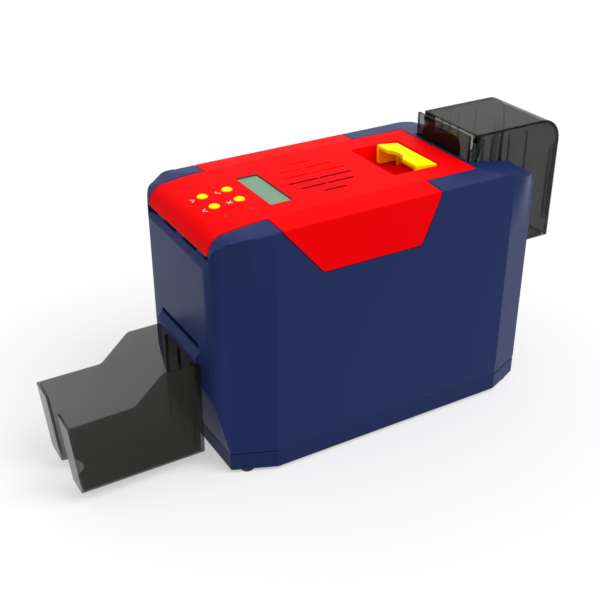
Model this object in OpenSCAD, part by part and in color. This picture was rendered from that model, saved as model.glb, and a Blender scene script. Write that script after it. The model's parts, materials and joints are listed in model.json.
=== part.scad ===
// Desktop card printer: deep casing on a base tray, hinged top cover with a release lever and a
// control panel, card hoppers at both ends, and a belt-driven card path inside.
// Millimetres. +Z is up, cards travel towards -X, the display side of the cover is at -X.

/* [Body] */
// Length of the casing between its square end corners
body_l = 240; // [225:1:260]
// Width of the casing
body_w = 121.4; // [118:0.2:140]
// Height of the roof above the table
body_h = 177; // [174:0.5:200]
// Height of the rubber feet
foot_h = 2.4; // [1.5:0.1:5]
// Radius of a rubber foot
foot_r = 5; // [4:0.1:6]
// Height of the base tray
base_h = 12.4; // [10:0.1:16]
// Thickness of the casing and tray walls
wall = 2.6; // [2:0.1:3.2]
// Open seam between the casing and the base tray
seam_gap = 0.4; // [0.2:0.1:0.8]
// Fall of the roof from the cover's side edge to the long faces
edge_drop = 1.7; // [0.5:0.1:3]
// Corner cut at the output end, along the length
left_cut_x = 29.3; // [20:0.1:36]
// Corner cut at the output end, across the width
left_cut_y = 12.2; // [9:0.1:15]
// Corner cut at the input end, along the length
right_cut_x = 27.4; // [20:0.1:34]
// Corner cut at the input end, across the width
right_cut_y = 11.4; // [9:0.1:14]
// How far the output end bulges past the corner line
end_bulge = 10; // [7:0.5:12]
// Height where the bulged output end starts to fall back to the base
lean_z = 62; // [55:1:68]
// Radius of the output end's roof roll
roll_r = 12; // [9:0.5:14]
// Radius of the input end's roof round
end_round_r = 16; // [10:0.5:20]
// Fall of the input end's roof per unit of length
roof_fall = 0.1667; // [0.1:0.01:0.2]

/* [Top cover] */
// Width of the cover between the casing's roof strips
cover_w = 86.6; // [84:0.2:90]
// Skin thickness of the cover
skin = 2.4; // [2:0.1:2.8]
// Gap between the cover and the casing
cover_gap = 0.6; // [0.3:0.05:0.8]
// Input-side end of the cover
cover_right = 72.3; // [70:0.1:73]
// Drop from the roof to the lower edge of the cover's rolled lip
lip_drop = 15.7; // [14:0.1:16]
// Top of the side flap at its output-side corner
flap_top_left = -86.6; // [-90:0.2:-84]
// Top of the side flap at its input-side corner
flap_top_right = 30.8; // [28:0.2:34]
// Bottom of the side flap at its output-side corner
flap_low_left = -56.9; // [-62:0.1:-52]
// Bottom of the side flap at its input-side corner
flap_low_right = 17.4; // [12:0.1:20]
// Drop from the roof to the side flap's lower edge
flap_drop = 36.4; // [31:0.2:41]
// Rounding of the side flap's corners
flap_round = 3.2; // [2:0.1:4]
// Radius of the pin that the cover turns on
hinge_pin_r = 0.9; // [0.7:0.05:1.1]
// Radius of the cover hinge's knuckles
knuckle_r = 1.7; // [1.5:0.05:1.8]

/* [Control panel] */
// Radius of a button
button_r = 3.5; // [3:0.1:4]
// Gap round a button
button_gap = 0.3; // [0.2:0.05:0.5]
// Travel of a button
button_travel = 0.6; // [0.4:0.05:0.8]
// How far a button stands above the cover
button_rise = 0.5; // [0.3:0.1:1]
// Display opening along the length
lcd_l = 15.5; // [13:0.1:17]
// Display opening across the width
lcd_w = 47.8; // [44:0.2:50]
// How deep the display window sits in its opening
lcd_sink = 1.0; // [0.6:0.1:1.4]
// Width of a vent slot
vent_w = 1.7; // [1.2:0.1:2]
// Distance between vent rows
vent_pitch = 9.8; // [9:0.1:10.5]
// Depth of the far rows, which are grooves
groove_d = 0.8; // [0.5:0.1:1.4]

/* [Release lever] */
// Width of the lever's finger pocket
pocket_w = 52.8; // [50:0.2:56]
// Depth of the finger pocket
pocket_d = 13.6; // [12.4:0.1:14]
// Width of the lever
lever_w = 46.6; // [44:0.2:48]
// Length of the lever's plate
lever_l = 17.4; // [16:0.1:18]
// How far the lever's front edge stands above its rear edge
lever_rise = 2; // [1:0.1:2.4]
// Thickness of the lever's walls
lever_t = 2.4; // [2:0.1:2.8]
// Radius of the lever's pin
lever_pin_r = 1.2; // [1:0.1:1.4]
// Running clearance of pins and shafts
run_gap = 0.05; // [0.03:0.01:0.08]

/* [Hoppers] */
// Width of the cards that the printer takes
card_w = 54; // [54:0.1:54.4]
// Outer width of the output hopper
tray_w = 60.2; // [59.4:0.2:62]
// Wall thickness of the output hopper
tray_wall = 1.8; // [1.6:0.1:2.2]
// Outer end of the output hopper at its rim
tray_end = -220.4; // [-226:0.2:-216]
// Drop from the card exit to the output hopper's rim beside the casing
tray_drop = 11.4; // [10.4:0.1:14]
// Fall of the output hopper's rim towards its outer end
tray_fall = 18.6; // [14:0.2:24]
// Height of the output hopper's underside
tray_z = 8.4; // [7:0.2:12]
// Width of the finger slot in the hopper's outer end
tray_slot = 22; // [18:0.5:26]
// Clearance beside the cards in the input hopper
card_room = 0.4; // [0.3:0.05:0.6]
// Wall thickness of the input hopper's cover
box_wall = 1.5; // [1.2:0.05:1.6]
// Outer end of the input hopper's cover
box_end = 158.4; // [155:0.2:162]
// How far the input hopper stands above the roof
box_rise = 16.5; // [13:0.5:23]
// Radius of the cover's outer top edge
box_round = 17; // [12:0.5:20]
// Gap between the input hopper and the walls of its bay
bay_gap = 2.4; // [2:0.1:3.4]

/* [Card path] */
// Drop from the roof to the card path where it leaves the casing
exit_drop = 85.6; // [85.4:0.1:85.8]
// Rise of the card path per unit of length
path_rise = 0.049; // [0.045:0.001:0.05]
// Radius of the driven rollers
roller_r = 7; // [6.4:0.1:7.2]
// Radius of the pick roller
pick_r = 7.8; // [7.6:0.1:8]
// Radius of the roller shafts
shaft_r = 3; // [2.6:0.1:3.2]
// Room between a card's edge and a side plate
plate_room = 8; // [7.8:0.1:9]
// Thickness of the side plates
plate_t = 1.5; // [1.2:0.1:2]
// Gear module
gear_m = 0.8; // [0.8:0.1:0.8]
// Radius of the belt pulleys
pulley_r = 9; // [8:0.1:9.2]
// Thickness of the drive belt
belt_t = 1.6; // [1.2:0.1:1.8]
// Radius of the full ribbon roll
supply_r = 13.5; // [11:0.5:14]
// Radius of the wound ribbon on the take-up spool
takeup_r = 9; // [7:0.5:9.5]
// Radius of the ribbon spools' flanges
flange_r = 16; // [15:0.2:16.4]

/* [Hidden] */

// Sizes that follow from the ones above
seam_z = foot_h + base_h;
half_l = body_l / 2;
half_w = body_w / 2;
cover_hw = cover_w / 2;
card_hw = card_w / 2;
lip_z = body_h - lip_drop;
flap_z = body_h - flap_drop;
exit_z = body_h - exit_drop;
bulge_x = -half_l - end_bulge;
bulge_hw = half_w - left_cut_y - end_bulge;
// The whole part stands with its bounding box centred on the origin
centre_x = -(tray_end + box_end) / 2;
far = 400;
eps = 0.01;

// Output end: the roof rolls down on an arc that meets a nearly upright face
roll_tilt = 12;
roll_lead = 9;
roll_long_r = 215;
lip_x = bulge_x + 2.7;
roll_c = [lip_x + roll_r, body_h - (1 - cos(roll_lead)) * roll_long_r - roll_r * cos(roll_lead)];
roll_end = roll_c + roll_r * [-sin(roll_lead), cos(roll_lead)];
long_c = [roll_end[0] + roll_long_r * sin(roll_lead), body_h - roll_long_r];
lean_top = roll_c + roll_r * [-cos(roll_tilt), sin(roll_tilt)];
upright_z = lean_top[1] - (lean_top[0] - bulge_x) / tan(roll_tilt);
// Input end: a flat fall, then a round down to the end face
roof_break = cover_right + 0.7;
fall_a = atan(roof_fall);
end_c_x = half_l - end_round_r;
end_c_z = body_h - roof_fall * (end_c_x + end_round_r * sin(fall_a) - roof_break)
    - end_round_r * cos(fall_a);

// Hinge of the top cover, just under the rolled lip
hinge_x = lip_x + 2.5;
hinge_z = lip_z - 0.9;
groove_z = hinge_z - 3.3;
chamfer_z = groove_z - 4;
chamfer_x = hinge_x - 1.6;
skirt_z = body_h - 10;
lug_y = [-30, 0, 30];
lug_len = 10;
leaf_hw = cover_hw - 3;
lug_gap = 0.3;

// Control panel
button_x = [-105.3, -88];
button_y = [8.4, -8.8];
light_y = -24.6;
light_r = 0.8;
lcd_x = -67.2;
lcd_y = -2.4;
board_z = body_h - 10.6;
board_t = 1.6;
board_x = [-111, -52];
board_hw = 31;
button_flange = 1.2;

// Release lever and its pocket
lever_x = 37.6;
lever_end = lever_x + lever_l;
pocket_x = [17.5, lever_end + 1.2];
pocket_ramp = 14;
pocket_wall = 1.6;
pocket_z = body_h - pocket_d;
lever_z = body_h - 0.6;
lever_barrel_r = 2.3;
lever_axis = [lever_end - lever_barrel_r, lever_z - lever_barrel_r - 0.2];
hook_y = 17.5;
nose_z = pocket_z - 8.4;
nose_reach = 7.4;
latch_bar_r = 2;
latch_bar_at = [lever_axis[0] + nose_reach + latch_bar_r + 0.3, nose_z + 2.4];

// Card path and its rollers
exit_x = bulge_x;
function path_z(x) = exit_z + path_rise * (x - exit_x);
path_a = atan(path_rise);
pick_x = 100;
feed_x = 55;
platen_x = 5;
transport_x = -50;
exit_roller_x = -108;
function shaft_z(x) = path_z(x) - roller_r;
roller_hw = card_hw - 3;
plate_in = card_hw + plate_room;
plate_out = plate_in + plate_t;
tray_floor = foot_h + wall;
card_gap = 0.8;
pulley_y = -plate_out - 1.5;
// The pulleys fill the room between the side plate and the casing's cut corner
exit_reach = exit_roller_x - pulley_r - 2;
pulley_w = half_w - left_cut_y * (1 - (exit_reach + half_l) / left_cut_x) - wall * 1.09 + pulley_y - 0.1;
pulley_rim = pulley_w / 8;
pinch_r = 5;
clean_r = 6;
clean_x = 34;
axle_r = 2;

// Gear train at the rear side plate
gear_y = plate_out + 1.5;
gear_w = 5;
pinion_teeth = 16;
platen_teeth = 48;
idler_teeth = 30;
takeup_teeth = 36;
platen_c = [platen_x, shaft_z(platen_x)];
motor_c = platen_c - [0, gear_m * (pinion_teeth + platen_teeth) / 2];
train_a = 132;
idler_c = platen_c + gear_m * (platen_teeth + idler_teeth) / 2 * [cos(train_a), sin(train_a)];
takeup_c = idler_c + gear_m * (idler_teeth + takeup_teeth) / 2 * [cos(train_a), sin(train_a)];
supply_c = [44, body_h - 41];
spool_axle_r = 4;
spool_hw = card_hw + 4;
film_hw = card_hw - 0.2;

// Print head hanging from the cover
head_z = path_z(platen_x) + card_gap + 0.9;
head_x = platen_x;
head_low = exit_z + 12.6;
head_hw = card_hw + 2;
bracket_z = body_h - 11;
arm_hw = card_hw + 6;

// Input hopper
rib_h = 0.7;
box_hw = card_hw + card_room + rib_h + box_wall;
box_top = body_h + box_rise;
box_z = exit_z + 9.8;
bay_hw = box_hw + bay_gap;
bay_x = cover_right + 3.1;
bay_wall = 2.4;
bay_z = exit_z + 6.6;
// Deep part of the bay, under the end of the top cover, so that a whole card fits
deep_x = bay_x - 5;
deep_hw = card_hw + 1.2;
deep_top = skirt_z - 2.4;
frame_x = bay_x + 0.6;
frame_wall = 2;
frame_top = box_top + 0.2;
frame_floor = path_z(pick_x) - 0.3;
box_axis = [frame_x + 10, box_top - 5.5];
box_left = frame_x + 6.6;
box_pin_r = 1.5;
rib_x = [90, 97.5, 105, 113, 129];
guide_y = card_hw + 0.3;
ear_y = box_hw - 2.6;

// Output hopper
tray_hw = tray_w / 2;
dock_x = bulge_x - 0.3;
tray_lean = 4.4;
tray_high = exit_z - tray_drop;
tray_low = tray_high - tray_fall;
tab_z = tray_high - 10;
tab_y = 18;
tab_w = 8;
tab_h = 3;
tab_reach = 3.6;
tab_gap = 0.4;

// Sockets at the input end
board_top = 21.6;
socket_hw = plate_in - 2;
board_end = half_l - 5;
inlet_y = 2;
usb_y = -19;
switch_y = 23;
switch_z = 34;

function arc(c, r, a0, a1, n) =
    [for (i = [0:n]) c + r * [cos(a0 + (a1 - a0) * i / n), sin(a0 + (a1 - a0) * i / n)]];
function roof_z(x) = x > long_c[0] ? body_h : long_c[1] + sqrt(pow(roll_long_r, 2) - pow(x - long_c[0], 2));
// Point where a tangent from p touches the circle (c, r); side is 1 or -1
function touch(c, r, p, side) = let (d = p - c, a = atan2(d[1], d[0]) + side * acos(r / norm(d)))
    c + r * [cos(a), sin(a)];

module place() { translate([centre_x, 0, 0]) children(); }
// Extrudes a side profile, drawn in X and Z, between two Y positions
module across(y0, y1) { translate([0, y1, 0]) rotate([90, 0, 0]) linear_extrude(y1 - y0) children(); }
// Extrudes an end profile, drawn in Y and Z, between two X positions
module along(x0, x1) { translate([x0, 0, 0]) rotate([90, 0, 90]) linear_extrude(x1 - x0) children(); }
module box(lo, hi) { translate(lo) cube(hi - lo); }
module rod(at, r, y0, y1, n = 48) { translate([at[0], y1, at[1]]) rotate([90, 0, 0]) cylinder(r = r, h = y1 - y0, $fn = n); }
// Long round-ended shape from p to q
module stadium(p, q, r) {
    translate(p) circle(r, $fn = 40);
    translate(q) circle(r, $fn = 40);
    bar(p, q, 2 * r);
}
// Straight strip of width w from p to q
module bar(p, q, w) {
    d = q - p;
    translate(p) rotate(atan2(d[1], d[0])) translate([0, -w / 2]) square([norm(d), w]);
}

// ---- Outer form ----
module plan_outline() {
    polygon(concat(
        [[-half_l + left_cut_x, -half_w], [half_l - right_cut_x, -half_w], [half_l, -half_w + right_cut_y],
         [half_l, half_w - right_cut_y], [half_l - right_cut_x, half_w], [-half_l + left_cut_x, half_w]],
        arc([-half_l, bulge_hw], end_bulge, 90, 180, 12),
        arc([-half_l, -bulge_hw], end_bulge, 180, 270, 12)));
}
module base_outline() {
    polygon([[-half_l + left_cut_x, -half_w], [half_l - right_cut_x, -half_w], [half_l, -half_w + right_cut_y],
        [half_l, half_w - right_cut_y], [half_l - right_cut_x, half_w], [-half_l + left_cut_x, half_w],
        [-half_l, half_w - left_cut_y], [-half_l, -half_w + left_cut_y]]);
}
module side_profile() {
    polygon(concat(
        [[-half_l, -far], [-half_l, seam_z], [bulge_x, lean_z], [bulge_x, upright_z]],
        arc(roll_c, roll_r, 180 - roll_tilt, 90 + roll_lead, 12),
        arc(long_c, roll_long_r, 90 + roll_lead - 1.5, 90, 5),
        [[roof_break, body_h]],
        arc([end_c_x, end_c_z], end_round_r, 90 - fall_a, 0, 14),
        [[half_l, -far]]));
}
module end_profile() {
    polygon([[-half_w, -far], [-half_w, body_h - edge_drop], [-cover_hw, body_h], [cover_hw, body_h],
        [half_w, body_h - edge_drop], [half_w, -far]]);
}
// The printer's outer form above the table, drawn in by inset on every side
module envelope(inset) {
    intersection() {
        translate([0, 0, -far / 2]) linear_extrude(far) offset(delta = -inset) plan_outline();
        across(-far / 2, far / 2) offset(delta = -inset) side_profile();
        along(-far / 2, far / 2) offset(delta = -inset) end_profile();
    }
}
// Side flap of the cover as drawn on the long face; low is the height of its lower edge
module flap_profile(low) {
    slope_l = (flap_low_left - flap_top_left - 1.6) / (body_h - 3.4 - flap_z);
    slope_r = (flap_top_right - flap_low_right) / (body_h - 4.6 - flap_z);
    polygon([[flap_top_left - 4.5, body_h + 9], [flap_top_left + 1.6, body_h - 3.4],
        [flap_low_left + slope_l * (flap_z - low), low], [flap_low_right - slope_r * (flap_z - low), low],
        [flap_top_right, body_h - 4.6], [flap_top_right, body_h + 9]]);
}

// ---- Casing and base ----
screw_at = [98, 44];
screw_r = 1.5;
foot_at = [half_l - 12, half_w - 12.7];
board_posts = [-40, 88];
module corners(at) { for (x = [-at[0], at[0]], y = [-at[1], at[1]]) translate([x, y, 0]) children(); }
module cover_opening() {
    across(-cover_hw - cover_gap, cover_hw + cover_gap)
        polygon([[-far, chamfer_z], [bulge_x, chamfer_z], [chamfer_x, groove_z], [hinge_x + 8, groove_z],
            [hinge_x + 12, skirt_z - 0.5], [cover_right + 0.5, skirt_z - 0.5], [cover_right + 0.5, far],
            [-far, far]]);
    across(-far, far) offset(r = flap_round + cover_gap, $fn = 48) offset(delta = -flap_round) flap_profile(flap_z);
}
module bay() {
    box([bay_x, -bay_hw, bay_z - 1], [far, bay_hw, far]);
    box([deep_x, -deep_hw, bay_z - 1], [bay_x + 1, deep_hw, deep_top]);
    // Gate that lets the lowest card through
    box([deep_x - bay_wall - 1, -deep_hw, bay_z - 1], [deep_x + 1, deep_hw, frame_floor + 3]);
}
module bay_walls() {
    intersection() {
        envelope(0);
        union() {
            box([cover_right + 0.5, -bay_hw - bay_wall, bay_z], [half_l, bay_hw + bay_wall, far]);
            box([deep_x - bay_wall, -deep_hw - bay_wall, bay_z],
                [cover_right + 1.5, deep_hw + bay_wall, deep_top + 1.4]);
        }
    }
}
module hinge_ledge() {
    intersection() {
        envelope(0);
        box([bulge_x, -cover_hw - wall, groove_z - 7], [hinge_x + 4, cover_hw + wall, groove_z]);
    }
}
module hinge_lugs() {
    for (y = lug_y) {
        rod([hinge_x, hinge_z], knuckle_r, y - lug_len / 2, y + lug_len / 2);
        box([hinge_x - 0.9, y - lug_len / 2, groove_z - 0.5], [hinge_x + 0.9, y + lug_len / 2, hinge_z]);
    }
}
// Sloping lip under the card exit, which guides cards into the output hopper
module exit_lip() {
    hw = card_w / 2 + 3.2;
    across(-hw, hw) polygon([[bulge_x + 1, exit_z - 1.8], [bulge_x, exit_z - 1.8], [bulge_x - 3.6, exit_z - 7],
        [bulge_x - 3.6, tray_high + 1.6], [bulge_x - 2, tray_high + 0.5], [bulge_x + 1, tray_high + 0.5]]);
}
module exit_slot() {
    hw = card_w / 2 + 0.8;
    box([bulge_x - 5, -hw, exit_z - 1.5], [bulge_x + wall + 3, hw, exit_z + 1.5]);
}
module hopper_tab_slots() {
    for (s = [-1, 1])
        box([bulge_x - 1, s * tab_y - tab_w / 2 - tab_gap, tab_z - tab_gap],
            [bulge_x + wall + 1, s * tab_y + tab_w / 2 + tab_gap, tab_z + tab_h + tab_gap]);
}
module socket_openings() {
    along(half_l - wall - 1, half_l + 1) {
        translate([inlet_y - 5.5, board_top - 0.5]) square([11, 13]);
        translate([usb_y - 6.5, board_top - 0.5]) square([13, 12]);
        translate([switch_y - switch_l[0] / 2, switch_z - switch_l[1] / 2]) square(switch_l);
    }
}
module casing_bosses() {
    intersection() {
        envelope(1);
        union() {
            corners(screw_at) translate([0, 0, seam_z + 4]) cylinder(r = 4.2, h = 16, $fn = 32);
            for (x = [-1, 1], s = [-1, 1])
                box([x * screw_at[0] - 1.2, min(s * 46, s * half_w), seam_z + 4],
                    [x * screw_at[0] + 1.2, max(s * 46, s * half_w), seam_z + 20]);
        }
    }
}
module main_casing() {
    color("midnightblue") difference() {
        union() {
            difference() {
                intersection() {
                    envelope(0);
                    box([-far, -far, seam_z + seam_gap], [far, far, far]);
                }
                envelope(wall);
            }
            bay_walls();
            hinge_ledge();
            exit_lip();
            casing_bosses();
        }
        cover_opening();
        bay();
        exit_slot();
        hopper_tab_slots();
        socket_openings();
        rod([pick_x, shaft_z(pick_x)], bush_r + 1.4, -plate_in, plate_in, 40);
        corners(screw_at) cylinder(r = screw_r, h = seam_z + 15, $fn = 24);
    }
    color("midnightblue") difference() {
        hinge_lugs();
        rod([hinge_x, hinge_z], hinge_pin_r, -cover_hw, cover_hw, 24);
    }
}
module base_tray() {
    color("midnightblue") difference() {
        union() {
            difference() {
                translate([0, 0, foot_h]) linear_extrude(base_h) base_outline();
                translate([0, 0, tray_floor]) linear_extrude(base_h) offset(delta = -wall) base_outline();
            }
            // Stepped rim that locates the casing
            translate([0, 0, seam_z - 4]) linear_extrude(4) difference() {
                offset(delta = -wall + 0.1) base_outline();
                offset(delta = -wall - 1.8) base_outline();
            }
            translate([0, 0, seam_z - 4]) linear_extrude(7) difference() {
                offset(delta = -wall - 0.3) base_outline();
                offset(delta = -wall - 1.8) base_outline();
            }
            corners(screw_at) translate([0, 0, foot_h]) cylinder(r = 4.2, h = base_h + 4, $fn = 32);
            for (x = board_posts, s = [-1, 1])
                translate([x, s * 27, foot_h]) cylinder(r = 3, h = board_top - board_t - foot_h, $fn = 24);
        }
        corners(screw_at) {
            cylinder(r = screw_r + 0.2, h = far, $fn = 24);
            cylinder(r = 3.2, h = tray_floor, $fn = 24);
        }
        // Air slots in the floor
        for (i = [-5:4])
            translate([i * 12, 0, foot_h - 1]) linear_extrude(wall + 2) stadium([0, -20], [0, 20], 1.5);
    }
}
module rubber_feet() {
    color("black") corners(foot_at) {
        cylinder(r1 = foot_r - 0.4, r2 = foot_r, h = 0.8, $fn = 40);
        translate([0, 0, 0.8]) cylinder(r = foot_r, h = foot_h - 0.8, $fn = 40);
    }
}
module base_screws() {
    color("silver") corners(screw_at) {
        difference() {
            translate([0, 0, tray_floor - 2.2]) cylinder(r = 2.9, h = 2.2, $fn = 32);
            for (a = [0, 90]) rotate(a) box([-2, -0.4, tray_floor - 3], [2, 0.4, tray_floor - 1]);
        }
        translate([0, 0, tray_floor - 0.5]) cylinder(r = screw_r, h = seam_z + 14 - tray_floor, $fn = 24);
    }
}

// ---- Chassis and card path ----
rail_y = card_hw + 0.4;
// Height at a share of the way from the tray's floor up to the card exit
function deck(k) = tray_floor + k * (exit_z - tray_floor);
shaft_xs = [pick_x, feed_x, platen_x, transport_x, exit_roller_x];
tie_at = [[-96, deck(0.34)], [-66, deck(0.66)], [62, deck(0.64)], [88, deck(0.66)]];
feed_pinch = [feed_x, path_z(feed_x) + card_gap + pinch_r];
transport_pinch = [transport_x, path_z(transport_x) + card_gap + pinch_r];
cleaner = [clean_x, path_z(clean_x) + card_gap + clean_r];
bush_r = 5;
stub_r = 2.5;
spool_top = body_h - 29;
module plate_profile() {
    difference() {
        polygon([[-112, tray_floor], [112, tray_floor], [112, head_low], [71, head_low], [71, body_h - 16],
            [58, body_h - 16], [55, spool_top], [26, spool_top], [20, supply_c[1] - 12], [-4, supply_c[1] - 12],
            [-10, spool_top], [-50, spool_top], [-62, exit_z + 22.6], [-112, exit_z + 9.6]]);
        for (x = shaft_xs) translate([x, shaft_z(x)]) circle(bush_r, $fn = 40);
        for (p = tie_at) translate(p) circle(shaft_r, $fn = 32);
        for (p = [feed_pinch, transport_pinch, cleaner]) translate(p) circle(axle_r + run_gap, $fn = 24);
        // Open cradles that the ribbon spools drop into
        for (p = [supply_c, takeup_c]) {
            translate(p) circle(spool_axle_r + run_gap, $fn = 40);
            translate(p - [spool_axle_r + run_gap, 0]) square([2 * (spool_axle_r + run_gap), 40]);
        }
        translate(latch_bar_at) circle(latch_bar_r, $fn = 24);
        // Lightening windows
        for (b = [[-104, -72, 0.43, 0.77], [-104, -72, 0.08, 0.24], [-58, -18, 0.08, 0.47], [-56, -26, 0.57, 0.84],
                  [30, 100, 0.08, 0.47], [34, 54, 0.59, 0.89], [70, 106, 0.73, 0.91]])
            translate([b[0], deck(b[2])]) square([b[1] - b[0], deck(b[3]) - deck(b[2])]);
    }
}
module chassis_front_plate() { color("silver") across(-plate_out, -plate_in) plate_profile(); }
module chassis_rear_plate() {
    color("silver") {
        across(plate_in, plate_out) difference() {
            plate_profile();
            translate(motor_c) circle(9, $fn = 48);
        }
        rod(idler_c, stub_r, plate_in, gear_y + gear_w + 0.5, 32);
        rod(idler_c, stub_r + 1.5, plate_out - 0.5, gear_y - 0.3, 32);
    }
}
module tie_bars() { color("gray") for (p = tie_at) rod(p, shaft_r, -plate_out, plate_out, 32); }
module latch_bar() { color("gray") rod(latch_bar_at, latch_bar_r, -plate_out, plate_out, 24); }
module shaft_bushes() {
    color("gold") for (x = shaft_xs, s = [-1, 1]) {
        at = [x, shaft_z(x)];
        difference() {
            union() {
                rod(at, bush_r, min(s * plate_in, s * plate_out), max(s * plate_in, s * plate_out), 40);
                rod(at, bush_r + 1, min(s * plate_out, s * (plate_out + 1)), max(s * plate_out, s * (plate_out + 1)), 40);
            }
            rod(at, shaft_r + run_gap, -plate_out - 2, plate_out + 2, 40);
        }
    }
}
module card_track() {
    track_t = 1.6;
    top = -0.4;
    color("dimgray") translate([0, 0, path_z(0)]) rotate([0, -path_a, 0]) difference() {
        union() {
            box([-110, -plate_in, top - track_t], [66, plate_in, top]);
            box([-126.5, -rail_y - 1, top - track_t], [66, rail_y + 1, top]);
            box([65, -rail_y, top - track_t], [deep_x + 2.6, rail_y, top]);
            for (s = [-1, 1]) {
                box([-126.5, min(s * rail_y, s * (rail_y + 1.2)), top - 1], [67, max(s * rail_y, s * (rail_y + 1.2)), 2.2]);
            }
        }
        for (x = shaft_xs) box([x - 9, -roller_hw - 2, -4], [x + 9, roller_hw + 2, 1]);
    }
}

module shaft(x, end) { color("silver") rod([x, shaft_z(x)], shaft_r, pulley_y - pulley_w - 0.5, end, 32); }
module roller(x, r) {
    color("dimgray") difference() {
        rod([x, shaft_z(x)], r, -roller_hw, roller_hw, 48);
        rod([x, shaft_z(x)], shaft_r, -roller_hw - 1, roller_hw + 1, 32);
    }
}
module pulley(x) {
    color("ivory") difference() {
        at = [x, shaft_z(x)];
        union() {
            rod(at, pulley_r, pulley_y - pulley_w, pulley_y, 48);
            rod(at, pulley_r + 2, pulley_y - pulley_rim, pulley_y, 48);
            rod(at, pulley_r + 2, pulley_y - pulley_w, pulley_y - pulley_w + pulley_rim, 48);
        }
        rod(at, shaft_r, pulley_y - pulley_w - 1, pulley_y + 1, 32);
        for (a = [30:60:330])
            rod(at + 6 * [cos(a), sin(a)], 1.4, pulley_y - pulley_w - 1, pulley_y + 1, 20);
    }
}
module pick_shaft() { shaft(pick_x, plate_out + 1.4); }
module pick_roller() { roller(pick_x, pick_r); }
module pick_pulley() { pulley(pick_x); }
module feed_shaft() { shaft(feed_x, plate_out + 1.4); }
module feed_roller() { roller(feed_x, roller_r); }
module feed_pulley() { pulley(feed_x); }
module platen_shaft() { shaft(platen_x, gear_y + gear_w + 0.5); }
module platen_roller() { roller(platen_x, roller_r); }
module platen_pulley() { pulley(platen_x); }
module transport_shaft() { shaft(transport_x, plate_out + 1.4); }
module transport_roller() { roller(transport_x, roller_r); }
module transport_pulley() { pulley(transport_x); }
module exit_shaft() { shaft(exit_roller_x, plate_out + 1.4); }
module exit_roller() { roller(exit_roller_x, roller_r); }
module exit_pulley() { pulley(exit_roller_x); }
module idle_roller(at, r) {
    rod(at, r, -roller_hw, roller_hw, 48);
    rod(at, axle_r, -plate_out, plate_out, 24);
}
module feed_pinch_roller() { color("gray") idle_roller(feed_pinch, pinch_r); }
module transport_pinch_roller() { color("gray") idle_roller(transport_pinch, pinch_r); }
module cleaning_roller() { color("lightblue") idle_roller(cleaner, clean_r); }
module belt_outline(r) {
    polygon(concat(arc([pick_x, shaft_z(pick_x)], r, path_a - 90, path_a + 90, 24),
        arc([exit_roller_x, shaft_z(exit_roller_x)], r, path_a + 90, path_a + 270, 24)));
}
module drive_belt() {
    color("black") across(pulley_y - pulley_w + 1.3 * pulley_rim, pulley_y - 1.3 * pulley_rim) difference() {
        belt_outline(pulley_r + 0.2 + belt_t);
        belt_outline(pulley_r + 0.2);
    }
}

// ---- Gears and ribbon ----
// Angle of a gear's first tooth so that it meshes with its neighbour in direction a
function mesh(p1, n1, n2, a) = a + 180 - (0.5 - (a - p1) * n1 / 360) * 360 / n2;
idler_p = mesh(0, platen_teeth, idler_teeth, train_a);
module gear_outline(n, p) {
    r = gear_m * n / 2;
    polygon([for (i = [0:n - 1], k = [[-1, -0.95, 0.88], [-1, 0.7, 0.28], [1, 0.7, 0.28], [1, -0.95, 0.88]])
        let (rr = r + k[1], a = p + i * 360 / n + k[0] * k[2] / rr * 180 / PI) rr * [cos(a), sin(a)]]);
}
module gear(at, n, p, bore) {
    across(gear_y, gear_y + gear_w) translate(at) difference() {
        gear_outline(n, p);
        circle(bore, $fn = 32);
    }
}
module platen_gear() { color("ivory") gear(platen_c, platen_teeth, 0, shaft_r); }
module motor_pinion() {
    color("gold") {
        gear(motor_c, pinion_teeth, mesh(0, platen_teeth, pinion_teeth, -90), stub_r);
        rod(motor_c, stub_r, plate_in - 9, gear_y + gear_w + 0.5, 32);
    }
}
module idler_gear() { color("ivory") gear(idler_c, idler_teeth, idler_p, stub_r + run_gap); }
module takeup_gear() {
    color("ivory") gear(takeup_c, takeup_teeth, mesh(idler_p, idler_teeth, takeup_teeth, train_a), spool_axle_r);
}
module spool(at, core, fr, end) {
    rod(at, spool_axle_r, -plate_out, end, 40);
    rod(at, core, -spool_hw, spool_hw, 48);
    for (s = [-1, 1]) rod(at, fr, s * spool_hw - 0.6, s * spool_hw + 0.6, 64);
}
module takeup_spool() { color("black") spool(takeup_c, takeup_r, 12, gear_y + gear_w + 0.5); }
module supply_spool() { color("black") spool(supply_c, spool_axle_r + 2, flange_r, plate_out); }
module supply_roll() {
    color("darkblue") difference() {
        rod(supply_c, supply_r, -film_hw - 1.5, film_hw + 1.5, 64);
        rod(supply_c, spool_axle_r + 2, -film_hw - 3, film_hw + 3, 48);
    }
}
module ribbon_film() {
    t = 0.3;
    q1 = [head_x + 11, path_z(head_x + 11) + card_gap + 0.45];
    q2 = [head_x - 14, path_z(head_x - 14) + card_gap + 0.45];
    p1 = touch(supply_c, supply_r + t, q1, -1);
    p2 = touch(takeup_c, takeup_r + t, q2, 1);
    color("darkblue") across(-film_hw, film_hw) {
        bar(p1, q1, t);
        bar(q1, q2, t);
        bar(q2, p2, t);
        translate(q1) circle(t / 2, $fn = 12);
        translate(q2) circle(t / 2, $fn = 12);
    }
}
motor_l = 35;
motor_d = 24;
module stepper_motor() {
    color("dimgray") difference() {
        union() {
            across(plate_in - motor_d, plate_in) translate(motor_c) difference() {
                square(motor_l, center = true);
                for (a = [45:90:315]) rotate(a) translate([motor_l * 0.64, -5]) square(10);
            }
            rod(motor_c, 8.8, plate_in - 1, plate_out, 48);
        }
        rod(motor_c, stub_r + run_gap, plate_in - 10, plate_out + 1, 32);
    }
}

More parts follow.
